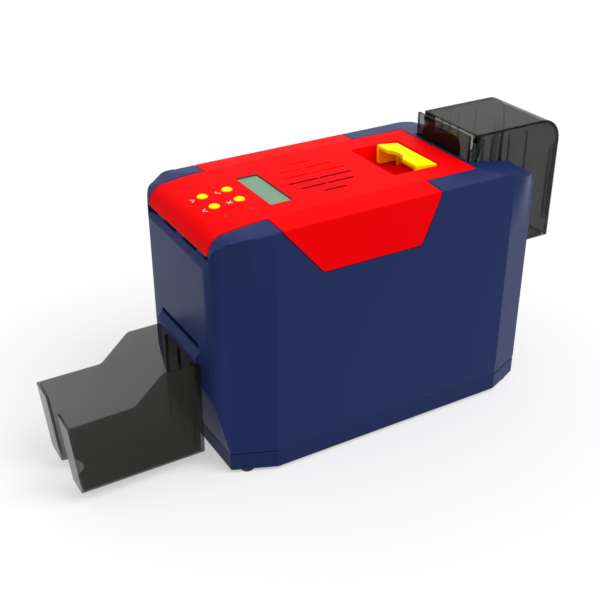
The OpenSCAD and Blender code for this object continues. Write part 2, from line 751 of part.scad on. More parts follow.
// ---- Electronics ----
switch_l = [13, 20];
module main_board() {
    color("darkgreen") difference() {
        box([-60, -socket_hw, board_top - board_t], [board_end, socket_hw, board_top]);
        for (x = board_posts, s = [-1, 1]) translate([x, s * 27, 0]) cylinder(r = 1.2, h = far, $fn = 20);
    }
    color("black") {
        box([-20, -12, board_top], [2, 10, board_top + 2]);
        box([20, -24, board_top], [34, -10, board_top + 1.6]);
        box([40, 4, board_top], [52, 22, board_top + 1.6]);
    }
    color("silver") {
        for (x = [66, 76], y = [-8, 6]) translate([x, y, board_top]) cylinder(r = 3.4, h = 10, $fn = 32);
        for (i = [0:6]) box([-50, -20 + i * 5, board_top], [-32, -18.4 + i * 5, board_top + 9]);
        box([-50, -20, board_top], [-32, 11.6, board_top + 1.5]);
    }
    color("ivory") for (y = [-28, 20]) box([-8, y, board_top], [10, y + 6, board_top + 6]);
}
socket_end = half_l - wall - 0.2;
module power_inlet() {
    color("black") difference() {
        box([socket_end - 13, inlet_y - 5, board_top], [socket_end, inlet_y + 5, board_top + 12]);
        translate([socket_end - 9, inlet_y, board_top + 6.5]) rotate([0, 90, 0]) cylinder(r = 3.2, h = 20, $fn = 32);
    }
    color("silver") translate([socket_end - 10, inlet_y, board_top + 6.5]) rotate([0, 90, 0])
        cylinder(r = 1, h = 9, $fn = 20);
}
module usb_port() {
    color("silver") difference() {
        box([socket_end - 15, usb_y - 6, board_top], [socket_end, usb_y + 6, board_top + 11]);
        box([socket_end - 9, usb_y - 4.3, board_top + 1.6], [socket_end + 1, usb_y + 4.3, board_top + 9.4]);
    }
    color("ivory") box([socket_end - 9.5, usb_y - 2.8, board_top + 4], [socket_end - 1, usb_y + 2.8, board_top + 7]);
}
switch_axis_x = half_l - 3.2;
switch_hole = switch_l - [3, 3];
module switch_body() {
    color("black") difference() {
        union() {
            along(half_l - 14, half_l) translate([switch_y, switch_z]) square(switch_l - [0.4, 0.4], center = true);
            along(half_l, half_l + 1) translate([switch_y, switch_z]) square(switch_l + [3, 3], center = true);
        }
        along(half_l - 10, half_l + 2) translate([switch_y, switch_z]) square(switch_hole, center = true);
        rod([switch_axis_x, switch_z], 1 + run_gap, switch_y - 6, switch_y + 6, 24);
    }
}
module power_switch() {
    hw = switch_hole[0] / 2 - 0.2;
    hz = switch_hole[1] / 2 - 0.5;
    color("dimgray") {
        across(switch_y - hw, switch_y + hw) polygon([[switch_axis_x + 1.6, switch_z - hz],
            [switch_axis_x + 3.8, switch_z - hz], [switch_axis_x + 2.6, switch_z], [switch_axis_x + 3.8, switch_z + hz],
            [switch_axis_x + 1.6, switch_z + hz], [switch_axis_x - 2.6, switch_z + 2], [switch_axis_x - 2.6, switch_z - 2]]);
        rod([switch_axis_x, switch_z], 1, switch_y - 6, switch_y + 6, 24);
    }
}

// ---- Top cover ----
vent_rows = [[0.5, -49.8, -27.9], [0.5, -26.9, -2], [1.5, -46.6, -27.9], [1.5, -26.6, -6.3], [2.5, -35.3, -18.2]];
post_at = [[-107, 27], [board_x[1] - 2.7, 27], [-12, 28], [10, 28]];
flange_top = [for (x = button_x) roof_z(x - button_r - button_flange) - skin - 0.15];
stem_z = [for (z = flange_top) z - 1.6];
module pocket_cavity() {
    polygon([[pocket_x[0], far], [pocket_x[0], body_h - 1], [pocket_x[0] + pocket_ramp, pocket_z],
        [pocket_x[1], pocket_z], [pocket_x[1], far]]);
}
module top_cover() {
    color("red") difference() {
        union() {
            difference() {
                intersection() {
                    envelope(0);
                    union() {
                        across(-cover_hw, cover_hw) polygon([[-far, lip_z], [hinge_x + 6, lip_z], [hinge_x + 10, skirt_z],
                            [cover_right, skirt_z], [cover_right, far], [-far, far]]);
                        across(-far, far) offset(r = flap_round, $fn = 48) offset(delta = -flap_round) flap_profile(flap_z);
                    }
                }
                intersection() {
                    envelope(skin);
                    union() {
                        box([-far, -cover_hw + skin, -far], [cover_right - skin, cover_hw - skin, far]);
                        across(-far, far) offset(delta = -skin) flap_profile(flap_z - 20);
                    }
                }
            }
            // Tub round the lever, posts for the board and the head bracket, hinge pads
            intersection() {
                envelope(skin / 2);
                union() {
                    across(-pocket_w / 2 - pocket_wall, pocket_w / 2 + pocket_wall) offset(delta = pocket_wall)
                        pocket_cavity();
                    for (p = post_at, s = [-1, 1]) {
                        low = p[0] < -50 ? board_z + board_t : bracket_z + 2;
                        translate([p[0], s * p[1], low]) cylinder(r = 2.6, h = 20, $fn = 28);
                    }
                    box([lip_x - 3, -leaf_hw, lip_z], [hinge_x + 0.5, leaf_hw, hinge_z + 4.6]);
                }
            }
        }
        across(-pocket_w / 2, pocket_w / 2) pocket_cavity();
        rod(lever_axis, lever_pin_r, -pocket_w / 2 - pocket_wall - 1, pocket_w / 2 + pocket_wall + 1, 32);
        for (s = [-1, 1]) box([lever_axis[0] - 5.5, s * hook_y - 2.2, pocket_z - 3], [pocket_x[1] - 0.6, s * hook_y + 2.2, pocket_z + 1]);
        // Room for the hinge knuckles
        rod([hinge_x, hinge_z], knuckle_r + 0.35, -leaf_hw - 0.3, leaf_hw + 0.3, 40);
        box([lcd_x - lcd_l / 2, lcd_y - lcd_w / 2, body_h - 10], [lcd_x + lcd_l / 2, lcd_y + lcd_w / 2, far]);
        for (x = button_x) {
            for (y = button_y) translate([x, y, board_z]) cylinder(r = button_r + button_gap, h = 30, $fn = 40);
            translate([x, light_y, board_z]) cylinder(r = light_r + 0.15, h = 30, $fn = 20);
        }
        // Vents: cut right through on the near side, shallow grooves on the far side
        for (v = vent_rows, s = [-1, 1])
            translate([0, s * v[0] * vent_pitch, s < 0 ? body_h - skin - 1 : body_h - groove_d])
                linear_extrude(skin + 3) stadium([v[1] + vent_w / 2, 0], [v[2] - vent_w / 2, 0], vent_w / 2);
    }
}
leaf_gaps = [[-leaf_hw, lug_y[0] - lug_len / 2 - lug_gap],
    [lug_y[0] + lug_len / 2 + lug_gap, lug_y[1] - lug_len / 2 - lug_gap],
    [lug_y[1] + lug_len / 2 + lug_gap, lug_y[2] - lug_len / 2 - lug_gap],
    [lug_y[2] + lug_len / 2 + lug_gap, leaf_hw]];
module hinge_leaf() {
    color("silver") difference() {
        union() {
            box([hinge_x + 0.5, -leaf_hw, hinge_z + 2.2], [hinge_x + 1.5, leaf_hw, hinge_z + 4.6]);
            for (g = leaf_gaps) {
                rod([hinge_x, hinge_z], knuckle_r, g[0], g[1]);
                box([hinge_x + 0.5, g[0], hinge_z], [hinge_x + 1.5, g[1], hinge_z + 3]);
            }
        }
        rod([hinge_x, hinge_z], hinge_pin_r + run_gap, -far, far, 24);
    }
}
module hinge_rod() { color("silver") rod([hinge_x, hinge_z], hinge_pin_r, -leaf_hw - 0.2, leaf_hw + 0.2, 24); }
module display_window() {
    g = 0.15;
    color("darkseagreen") {
        box([lcd_x - lcd_l / 2 + g, lcd_y - lcd_w / 2 + g, body_h - skin - 0.5],
            [lcd_x + lcd_l / 2 - g, lcd_y + lcd_w / 2 - g, body_h - lcd_sink]);
        box([lcd_x - lcd_l / 2 - 1.4, lcd_y - lcd_w / 2 - 1.4, body_h - skin - 1],
            [lcd_x + lcd_l / 2 + 1.4, lcd_y + lcd_w / 2 + 1.4, body_h - skin]);
    }
}
module display_board() {
    top = board_z + board_t;
    color("darkgreen") box([board_x[0], -board_hw, board_z], [board_x[1], board_hw, top]);
    color("silver") box([lcd_x - lcd_l / 2 - 1.4, lcd_y - lcd_w / 2 - 1.8, top],
        [lcd_x + lcd_l / 2 + 1.4, lcd_y + lcd_w / 2 + 1.8, body_h - skin - 1]);
    for (i = [0, 1]) {
        color("black") for (y = button_y) {
            box([button_x[i] - 3, y - 3, top], [button_x[i] + 3, y + 3, stem_z[i] - button_travel - 0.7]);
            translate([button_x[i], y, top]) cylinder(r = 1.6, h = stem_z[i] - button_travel - 0.1 - top, $fn = 24);
        }
        color("palegreen") translate([button_x[i], light_y, top])
            cylinder(r = light_r, h = roof_z(button_x[i]) - 0.2 - top, $fn = 20);
    }
    color("ivory") box([-84, 24, board_z - 4], [-66, 29, board_z]);
}
module button(i, y) {
    top = roof_z(button_x[i]) + button_rise;
    translate([button_x[i], y, 0]) {
        translate([0, 0, flange_top[i] - 0.9]) cylinder(r = button_r, h = top - 0.4 + eps - flange_top[i] + 0.9, $fn = 40);
        translate([0, 0, top - 0.4]) cylinder(r1 = button_r, r2 = button_r - 0.5, h = 0.4, $fn = 40);
        translate([0, 0, flange_top[i] - 0.9]) cylinder(r = button_r + button_flange, h = 0.9, $fn = 40);
        translate([0, 0, stem_z[i]]) cylinder(r = 1.5, h = 2, $fn = 24);
    }
}
module button_up() { color("yellow") button(0, button_y[0]); }
module button_down() { color("yellow") button(0, button_y[1]); }
module button_enter() { color("yellow") button(1, button_y[0]); }
module button_cancel() { color("yellow") button(1, button_y[1]); }
module head_bracket() {
    color("silver") {
        box([head_x - 21, -arm_hw, bracket_z], [head_x + 9, arm_hw, bracket_z + 2]);
        for (s = [-1, 1]) across(min(s * arm_hw, s * (arm_hw - 1.5)), max(s * arm_hw, s * (arm_hw - 1.5)))
            polygon([[head_x - 21, bracket_z + 1], [head_x - 21, bracket_z - 4], [head_x - 12, bracket_z - 26],
                [head_x - 12, head_low + 2], [head_x + 6, head_low + 2], [head_x + 6, bracket_z - 26],
                [head_x + 9, bracket_z - 4], [head_x + 9, bracket_z + 1]]);
        box([head_x - 12, -arm_hw + 1, head_low + 12], [head_x + 6, arm_hw - 1, head_low + 13.5]);
    }
}
module print_head() {
    color("dimgray") {
        box([head_x - 11, -arm_hw + 1.5, head_low], [head_x + 6, arm_hw - 1.5, head_low + 5]);
        for (i = [0:6]) box([head_x - 10.4 + i * 2.5, -head_hw, head_low + 5], [head_x - 9.2 + i * 2.5, head_hw, head_low + 11]);
        box([head_x - 7, -head_hw, head_low - 1], [head_x + 5, head_hw, head_low + 0.5]);
    }
    color("black") across(-film_hw, film_hw)
        polygon([[head_x - 3, head_z], [head_x + 3, head_z], [head_x + 5, head_low - 0.8], [head_x - 5, head_low - 0.8]]);
}

// ---- Release lever ----
// Side of the lever: its top rises to the front edge, and the legs go down almost to the pocket's floor
module lever_side() {
    low = pocket_z + 1;
    polygon(concat(arc([lever_x + 2, low + 2], 2, 180, 270, 8),
        [[lever_end, low], [lever_end, lever_z], [lever_x + 0.5, lever_z + lever_rise], [lever_x, lever_z + lever_rise - 0.5]]));
}
module release_lever() {
    hw = lever_w / 2;
    color("yellow") difference() {
        union() {
            difference() {
                across(-hw, hw) intersection() {
                    lever_side();
                    polygon([[lever_x - 1, lever_z + lever_rise - lever_t], [lever_end + 1, lever_z - lever_t],
                        [lever_end + 1, far], [lever_x - 1, far]]);
                }
                // Finger scallop in the front edge, with softened ends
                translate([lever_x - 6.6, 1.8, 0]) linear_extrude(far) offset(r = -2, $fn = 32) offset(delta = 2) union() {
                    circle(11, $fn = 72);
                    translate([-10, -40]) square([16.6 - eps, 80]);
                }
            }
            for (s = [-1, 1]) across(min(s * hw, s * (hw - lever_t)), max(s * hw, s * (hw - lever_t))) lever_side();
            box([lever_end - lever_t, -hw, pocket_z + 1], [lever_end, hw, lever_z]);
            rod(lever_axis, lever_barrel_r, -hw, hw, 40);
            for (s = [-1, 1]) across(s * hook_y - 1.5, s * hook_y + 1.5)
                polygon([[lever_axis[0] - 1.5, lever_axis[1]], [lever_axis[0] - 1.5, nose_z - 2.5],
                    [lever_axis[0] + nose_reach - 1.5, nose_z - 2.5], [lever_axis[0] + nose_reach, nose_z - 0.4],
                    [lever_axis[0] + nose_reach, nose_z], [lever_axis[0] + 1.5, nose_z], [lever_axis[0] + 1.5, lever_axis[1]]]);
        }
        rod(lever_axis, lever_pin_r + run_gap, -hw - 1, hw + 1, 32);
    }
}
module lever_pin() { color("silver") rod(lever_axis, lever_pin_r, -pocket_w / 2 - pocket_wall, pocket_w / 2 + pocket_wall, 32); }

// ---- Input hopper ----
module ear_profile() {
    low = body_h - 11;
    translate(box_axis) circle(3.4, $fn = 40);
    polygon([[frame_x + 1, low], [frame_x + 1, low + 13], [box_axis[0] - 3, box_axis[1] - 4.5], [box_axis[0] - 3, box_axis[1]],
        [box_axis[0] + 3.2, box_axis[1]], [box_axis[0] + 3.2, box_axis[1] - 8], [frame_x + 7, low]]);
}
module input_hopper_frame() {
    x1 = frame_x + frame_wall;
    hw = box_hw - 0.6;
    color("dimgray") {
        difference() {
            union() {
                box([frame_x, -hw, bay_z + 0.2], [x1, hw, frame_top]);
                box([frame_x, -guide_y + 0.5, frame_floor - 2], [box_end - box_wall - 1, guide_y - 0.5, frame_floor]);
                box([frame_x, -hw, frame_floor - 4], [x1 + 3, hw, frame_floor - 2]);
            }
            // The cards reach through the near wall into the deep part of the bay
            box([frame_x - 1, -guide_y, frame_floor], [x1 + 1, guide_y, deep_top]);
            box([pick_x - 9, -roller_hw - 1.5, frame_floor - 5], [pick_x + 9, roller_hw + 1.5, frame_floor + 1]);
            translate([box_end - box_wall - 1, 0, frame_floor - 5]) cylinder(r = 9, h = 10, $fn = 40);
        }
        difference() {
            for (s = [-1, 1]) across(min(s * (ear_y - 1.4), s * ear_y), max(s * (ear_y - 1.4), s * ear_y)) ear_profile();
            rod(box_axis, box_pin_r, -far / 4, far / 4, 32);
        }
    }
}
module hopper_hinge_pins() {
    color("silver") for (s = [-1, 1]) {
        rod(box_axis, box_pin_r, min(s * (ear_y - 1.4), s * (box_hw + 0.7)), max(s * (ear_y - 1.4), s * (box_hw + 0.7)), 32);
        rod(box_axis, box_pin_r + 1, min(s * (ear_y - 2.4), s * (ear_y - 1.4)), max(s * (ear_y - 2.4), s * (ear_y - 1.4)), 32);
        // Slotted head outside the cover's boss
        difference() {
            rod(box_axis, 2.7, min(s * (box_hw + 0.6), s * (box_hw + 1.5)), max(s * (box_hw + 0.6), s * (box_hw + 1.5)), 40);
            translate([box_axis[0], s * (box_hw + 1.5), box_axis[1]]) rotate([0, 35, 0]) cube([8, 0.9, 0.8], center = true);
        }
    }
}
module box_profile(d) {
    r = box_round - d;
    difference() {
        translate([box_left, box_z]) square([box_end - d - box_left, box_top - d - box_z]);
        translate([box_end - d - r, box_top - d - r]) square(r + 1);
    }
    translate([box_end - d - r, box_top - d - r]) intersection() {
        circle(r, $fn = 96);
        square(r + 1);
    }
}
module input_hopper_cover() {
    inner = box_hw - box_wall;
    color("dimgray", 0.5) difference() {
        union() {
            difference() {
                across(-box_hw, box_hw) box_profile(0);
                across(-inner, inner) union() {
                    box_profile(box_wall);
                    translate([box_left - 5, box_z - 5]) square([box_end - box_wall - box_left + 5, 20]);
                    translate([box_left - 5, box_z - 5]) square([20, box_top - box_wall - box_z + 5]);
                }
            }
            // Ribs that guide the cards, inside the long walls and the outer end
            for (s = [-1, 1]) for (x = rib_x)
                box([x - 0.6, min(s * (inner + 0.5), s * (inner - rib_h)), box_z], [x + 0.6, max(s * (inner + 0.5), s * (inner - rib_h)), box_top - box_wall - 4]);
            for (s = [-1, 1]) rod(box_axis, 3.6, min(s * (box_hw - 0.5), s * (box_hw + 0.5)), max(s * (box_hw - 0.5), s * (box_hw + 0.5)), 48);
            for (s = [-1, 1]) across(min(s * (box_hw - 0.2), s * (box_hw + 0.8)), max(s * (box_hw - 0.2), s * (box_hw + 0.8)))
                stadium([box_end - 6.1, box_z + 16.8], [box_end - 6.1, box_top - 21.7], 2);
        }
        rod(box_axis, box_pin_r + run_gap, -far / 4, far / 4, 32);
    }
}

// ---- Output hopper ----
// Leaning outer end, floor and upright dock wall, drawn in by d and open at the top
module tray_ends(d) {
    polygon([[tray_end + tray_lean + d, tray_z + d], [tray_end - 2 * tray_lean + d, 3 * tray_low - 2 * tray_z],
        [dock_x - d, 3 * tray_low - 2 * tray_z], [dock_x - d, tray_z + d]]);
}
module tray_profile() {
    intersection() {
        tray_ends(0);
        offset(r = 5, $fn = 40) offset(r = -10, $fn = 40) offset(r = 5, $fn = 40)
            polygon([[-300, -60], [-60, -60], [-60, tray_high], [bulge_x - 25.5, tray_high], [bulge_x - 46, tray_low], [-300, tray_low]]);
    }
}
module output_hopper() {
    color("dimgray", 0.5) {
        difference() {
            intersection() {
                across(-tray_hw, tray_hw) tray_profile();
                along(-far, 0) offset(r = 3.5, $fn = 40) offset(delta = -3.5) translate([-tray_hw, tray_z]) square([tray_w, far]);
            }
            across(-tray_hw + tray_wall, tray_hw - tray_wall) tray_ends(tray_wall);
            translate([tray_end + tray_lean, 0, 0]) cylinder(r = tray_slot / 2, h = far, $fn = 64);
            box([-far, -tray_slot / 2, 0], [tray_end + tray_lean, tray_slot / 2, far]);
        }
        for (y = [-20, 0, 20]) box([dock_x - tray_wall - 1, y - 1, tray_z + 1], [dock_x - tray_wall + 0.5, y + 1, tray_high - 4]);
        for (s = [-1, 1]) box([dock_x - 1, s * tab_y - tab_w / 2, tab_z], [bulge_x + tab_reach, s * tab_y + tab_w / 2, tab_z + tab_h]);
    }
}

place() main_casing();
place() base_tray();
place() rubber_feet();
place() base_screws();
place() chassis_front_plate();
place() chassis_rear_plate();
place() tie_bars();
place() shaft_bushes();
place() card_track();
place() hinge_rod();
place() latch_bar();
place() input_hopper_frame();
place() hopper_hinge_pins();
place() drive_belt();
place() stepper_motor();
place() main_board();
place() power_inlet();
place() usb_port();
place() switch_body();
place() ribbon_film();
place() top_cover();
place() hinge_leaf();
place() display_window();
place() display_board();
place() lever_pin();
place() head_bracket();
place() print_head();
place() release_lever();
place() button_up();
place() button_down();
place() button_enter();
place() button_cancel();
place() output_hopper();
place() input_hopper_cover();
place() pick_shaft();
place() pick_roller();
place() pick_pulley();
place() feed_shaft();
place() feed_roller();
place() feed_pulley();
place() platen_shaft();
place() platen_roller();
place() platen_pulley();
place() platen_gear();
place() transport_shaft();
place() transport_roller();
place() transport_pulley();
place() exit_shaft();
place() exit_roller();
place() exit_pulley();
place() motor_pinion();
place() idler_gear();
place() takeup_gear();
place() takeup_spool();
place() supply_spool();
place() supply_roll();
place() feed_pinch_roller();
place() transport_pinch_roller();
place() cleaning_roller();
place() power_switch();
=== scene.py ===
"""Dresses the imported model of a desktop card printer.

Every piece stands where its solid stands, in metres: +Z is up, cards travel towards -X, and the
long face that the camera sees faces -Y. The CAD solids give all places and sizes; this script adds
rounded edges, materials, key symbols, small repeated parts and a plain studio. The casing's and
the lid's measures are in millimetres and are turned into metres where a mesh is built.
"""
import json
import math

import bmesh
import bpy
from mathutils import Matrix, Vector
from mathutils.bvhtree import BVHTree


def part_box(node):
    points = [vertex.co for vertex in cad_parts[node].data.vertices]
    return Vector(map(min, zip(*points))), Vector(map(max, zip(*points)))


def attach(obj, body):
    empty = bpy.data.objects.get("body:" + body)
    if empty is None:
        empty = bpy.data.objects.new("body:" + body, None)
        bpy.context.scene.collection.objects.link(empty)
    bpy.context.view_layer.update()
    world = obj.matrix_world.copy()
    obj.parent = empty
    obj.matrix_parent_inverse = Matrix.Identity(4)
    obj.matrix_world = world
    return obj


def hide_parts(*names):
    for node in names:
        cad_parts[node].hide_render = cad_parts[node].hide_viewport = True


MM = 0.001

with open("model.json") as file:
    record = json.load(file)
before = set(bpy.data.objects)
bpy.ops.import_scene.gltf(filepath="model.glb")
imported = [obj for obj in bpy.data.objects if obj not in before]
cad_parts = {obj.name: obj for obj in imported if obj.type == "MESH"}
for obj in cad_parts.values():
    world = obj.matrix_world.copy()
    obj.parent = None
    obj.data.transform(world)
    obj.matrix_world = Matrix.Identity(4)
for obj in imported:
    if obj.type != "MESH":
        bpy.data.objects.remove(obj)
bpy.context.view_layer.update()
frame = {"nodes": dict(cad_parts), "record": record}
scene = bpy.context.scene
collection = scene.collection

# ---- Camera and studio ----
CAMERA_AT = (-0.32189, -0.53711, 0.43692)
CAMERA_TURN = math.radians(-30.3165)
CAMERA_TILT = math.radians(90 - 29.4165)
CAMERA_LENS = 61.546
SENSOR = 36.0


def make_camera():
    """The photograph's viewpoint."""
    data = bpy.data.cameras.new("camera")
    data.lens = CAMERA_LENS
    data.sensor_width = SENSOR
    data.sensor_fit = "HORIZONTAL"
    data.clip_start = 0.02
    camera = bpy.data.objects.new("camera", data)
    camera.location = CAMERA_AT
    camera.rotation_euler = (CAMERA_TILT, 0, CAMERA_TURN)
    collection.objects.link(camera)
    scene.camera = camera


def soft_sun(name, towards, level, spread):
    """A broad sun in the direction towards; level is the light that it gives a white floor."""
    direction = Vector(towards).normalized()
    data = bpy.data.lights.new(name, "SUN")
    data.energy = math.pi * level / direction.z
    data.angle = math.radians(spread)
    lamp = bpy.data.objects.new(name, data)
    lamp.rotation_euler = direction.to_track_quat("Z", "Y").to_euler()
    collection.objects.link(lamp)


def math_node(tree, operation, first, second, clamp=False):
    """A Math node; each operand is a socket or a number."""
    node = tree.nodes.new("ShaderNodeMath")
    node.operation = operation
    node.use_clamp = clamp
    for index, value in enumerate((first, second)):
        if isinstance(value, (int, float)):
            node.inputs[index].default_value = value
        else:
            tree.links.new(value, node.inputs[index])
    return node.outputs[0]


def seen_rays(tree):
    """1 for rays from the camera, a gloss or a see-through surface, and 0 for the rest."""
    path = tree.nodes.new("ShaderNodeLightPath").outputs
    either = math_node(tree, "MAXIMUM", path["Is Camera Ray"], path["Is Glossy Ray"])
    return math_node(tree, "MAXIMUM", either, path["Is Transmission Ray"])


WORLD_LIGHT = 0.5
WHITE = (1.0, 1.0, 1.0, 1.0)


def make_world():
    """Soft light from all round. Camera, mirror and see-through rays meet plain white."""
    world = bpy.data.worlds.new("studio")
    scene.world = world
    world.use_nodes = True
    tree = world.node_tree
    tree.nodes.clear()
    out = tree.nodes.new("ShaderNodeOutputWorld")
    mix = tree.nodes.new("ShaderNodeMixShader")
    tree.links.new(seen_rays(tree), mix.inputs[0])
    for socket, strength in ((1, WORLD_LIGHT), (2, 1.0)):
        light = tree.nodes.new("ShaderNodeBackground")
        light.inputs["Color"].default_value = WHITE
        light.inputs["Strength"].default_value = strength
        tree.links.new(light.outputs[0], mix.inputs[socket])
    tree.links.new(mix.outputs[0], out.inputs["Surface"])


FLOOR_SIZE = 12.0
FLOOR_SHADE = 0.55
FLOOR_GLOW = 0.45


def make_floor():
    """A pale sweep of floor that keeps the object's shadow and runs into the white surroundings."""
    data = bpy.data.meshes.new("floor")
    half = FLOOR_SIZE / 2
    corners = [(-half, -half, 0), (half, -half, 0), (half, half, 0), (-half, half, 0)]
    data.from_pydata(corners, [], [(0, 1, 2, 3)])
    floor = bpy.data.objects.new("floor", data)
    collection.objects.link(floor)
    material = bpy.data.materials.new("floor_paper")
    material.use_nodes = True
    tree = material.node_tree
    tree.nodes.clear()
    out = tree.nodes.new("ShaderNodeOutputMaterial")
    shader = tree.nodes.new("ShaderNodeBsdfDiffuse")
    shader.inputs["Color"].default_value = (FLOOR_SHADE, FLOOR_SHADE, FLOOR_SHADE, 1)
    glow = tree.nodes.new("ShaderNodeEmission")
    add = tree.nodes.new("ShaderNodeAddShader")
    tree.links.new(math_node(tree, "MULTIPLY", seen_rays(tree), FLOOR_GLOW), glow.inputs["Strength"])
    tree.links.new(shader.outputs[0], add.inputs[0])
    tree.links.new(glow.outputs[0], add.inputs[1])
    tree.links.new(add.outputs[0], out.inputs["Surface"])
    data.materials.append(material)


# ---- Materials ----
def linear(red, green, blue):
    """Scene-linear colour of a display colour given as 0 to 255."""
    def channel(value):
        value = value / 255
        return value / 12.92 if value <= 0.04045 else ((value + 0.055) / 1.055) ** 2.4
    return (channel(red), channel(green), channel(blue), 1.0)


def new_group(name, inputs, outputs):
    """An empty shader group with named sockets, and its input and output nodes."""
    tree = bpy.data.node_groups.new(name, "ShaderNodeTree")
    for label, kind, value in inputs:
        socket = tree.interface.new_socket(label, in_out="INPUT", socket_type=kind)
        socket.default_value = value
    for label, kind in outputs:
        tree.interface.new_socket(label, in_out="OUTPUT", socket_type=kind)
    return tree, tree.nodes.new("NodeGroupInput"), tree.nodes.new("NodeGroupOutput")


def noise(tree, source, scale_socket, detail, stretch=(1, 1, 1)):
    """Noise on object coordinates, its scale taken from a group input."""
    mapping = tree.nodes.new("ShaderNodeMapping")
    mapping.inputs["Scale"].default_value = stretch
    texture = tree.nodes.new("ShaderNodeTexNoise")
    texture.inputs["Detail"].default_value = detail
    tree.links.new(source, mapping.inputs["Vector"])
    tree.links.new(mapping.outputs["Vector"], texture.inputs["Vector"])
    tree.links.new(scale_socket, texture.inputs["Scale"])
    return texture.outputs["Fac"]


def swing(tree, centre, amount, wave):
    """centre + amount * (wave - 0.5)."""
    offset = math_node(tree, "SUBTRACT", wave, 0.5)
    return math_node(tree, "ADD", centre, math_node(tree, "MULTIPLY", amount, offset))


def tinted(tree, colour, tone):
    """A colour socket made lighter or darker by a value."""
    scaled = tree.nodes.new("ShaderNodeVectorMath")
    scaled.operation = "SCALE"
    tree.links.new(colour, scaled.inputs[0])
    tree.links.new(tone, scaled.inputs["Scale"])
    return scaled.outputs[0]


SKIN_OUTPUTS = [("Colour", "NodeSocketColor"), ("Roughness", "NodeSocketFloat"),
                ("Height", "NodeSocketFloat")]


def make_moulded_group():
    """Moulded plastic or rubber: slow tone drift, handling smudges and a fine spark-eroded grain."""
    tree, given, made = new_group(
        "moulded_surface",
        [("Colour", "NodeSocketColor", (0.5, 0.5, 0.5, 1)), ("Tone drift", "NodeSocketFloat", 0.04),
         ("Roughness", "NodeSocketFloat", 0.4), ("Smudges", "NodeSocketFloat", 0.08),
         ("Grain scale", "NodeSocketFloat", 1500.0), ("Drift scale", "NodeSocketFloat", 14.0)],
        SKIN_OUTPUTS,
    )
    place = tree.nodes.new("ShaderNodeTexCoord").outputs["Object"]
    drift = noise(tree, place, given.outputs["Drift scale"], 2.0)
    smudge_scale = math_node(tree, "MULTIPLY", given.outputs["Drift scale"], 4.0)
    smudge = noise(tree, place, smudge_scale, 5.0, (1, 1.4, 0.8))
    grain = noise(tree, place, given.outputs["Grain scale"], 1.0)
    tone = swing(tree, 1.0, math_node(tree, "MULTIPLY", given.outputs["Tone drift"], 2.0), drift)
    tree.links.new(tinted(tree, given.outputs["Colour"], tone), made.inputs["Colour"])
    rough = swing(tree, given.outputs["Roughness"], given.outputs["Smudges"], smudge)
    tree.links.new(rough, made.inputs["Roughness"])
    tree.links.new(grain, made.inputs["Height"])
    return tree


def make_metal_group():
    """Rolled, turned or plated metal: drawn lines along one direction and cloudy plating."""
    tree, given, made = new_group(
        "metal_surface",
        [("Colour", "NodeSocketColor", (0.6, 0.6, 0.6, 1)), ("Cloud", "NodeSocketFloat", 0.12),
         ("Roughness", "NodeSocketFloat", 0.3), ("Line spread", "NodeSocketFloat", 0.15),
         ("Line scale", "NodeSocketFloat", 900.0)],
        SKIN_OUTPUTS,
    )
    place = tree.nodes.new("ShaderNodeTexCoord").outputs["Object"]
    lines = noise(tree, place, given.outputs["Line scale"], 3.0, (0.03, 1, 1))
    cloud_scale = math_node(tree, "MULTIPLY", given.outputs["Line scale"], 0.06)
    cloud = noise(tree, place, cloud_scale, 3.0)
    tone = swing(tree, 1.0, given.outputs["Cloud"], cloud)
    tree.links.new(tinted(tree, given.outputs["Colour"], tone), made.inputs["Colour"])
    rough = swing(tree, given.outputs["Roughness"], given.outputs["Line spread"], lines)
    tree.links.new(rough, made.inputs["Roughness"])
    tree.links.new(lines, made.inputs["Height"])
    return tree


MOULDED = make_moulded_group()
METAL = make_metal_group()


def surface(name, group, colour, settings, bump_mm, bump_strength, **principled):
    """A material: a group drives colour, roughness and bump, and the rest is set on the shader."""
    material = bpy.data.materials.new(name)
    material.use_nodes = True
    nodes, links = material.node_tree.nodes, material.node_tree.links
    shader = nodes["Principled BSDF"]
    skin = nodes.new("ShaderNodeGroup")
    skin.node_tree = group
    skin.inputs["Colour"].default_value = colour
    for label, value in settings.items():
        skin.inputs[label].default_value = value
    bump = nodes.new("ShaderNodeBump")
    bump.inputs["Distance"].default_value = bump_mm * MM
    bump.inputs["Strength"].default_value = bump_strength
    links.new(skin.outputs["Colour"], shader.inputs["Base Color"])
    links.new(skin.outputs["Roughness"], shader.inputs["Roughness"])
    links.new(skin.outputs["Height"], bump.inputs["Height"])
    links.new(bump.outputs["Normal"], shader.inputs["Normal"])
    for label, value in principled.items():
        shader.inputs[label.replace("_", " ")].default_value = value
    material.diffuse_color = colour
    return material


def moulded(name, colour, roughness, grain=1500.0, drift=0.04, smudges=0.08, bump_mm=0.05,
            strength=0.25, **principled):
    """Moulded plastic or rubber."""
    settings = {"Roughness": roughness, "Grain scale": grain, "Tone drift": drift, "Smudges": smudges}
    return surface(name, MOULDED, colour, settings, bump_mm, strength, **principled)


def metal(name, colour, roughness, lines=900.0, cloud=0.12, spread=0.15):
    """Bare or plated metal."""
    settings = {"Roughness": roughness, "Line scale": lines, "Cloud": cloud, "Line spread": spread}
    return surface(name, METAL, colour, settings, 0.02, 0.2, Metallic=1.0)


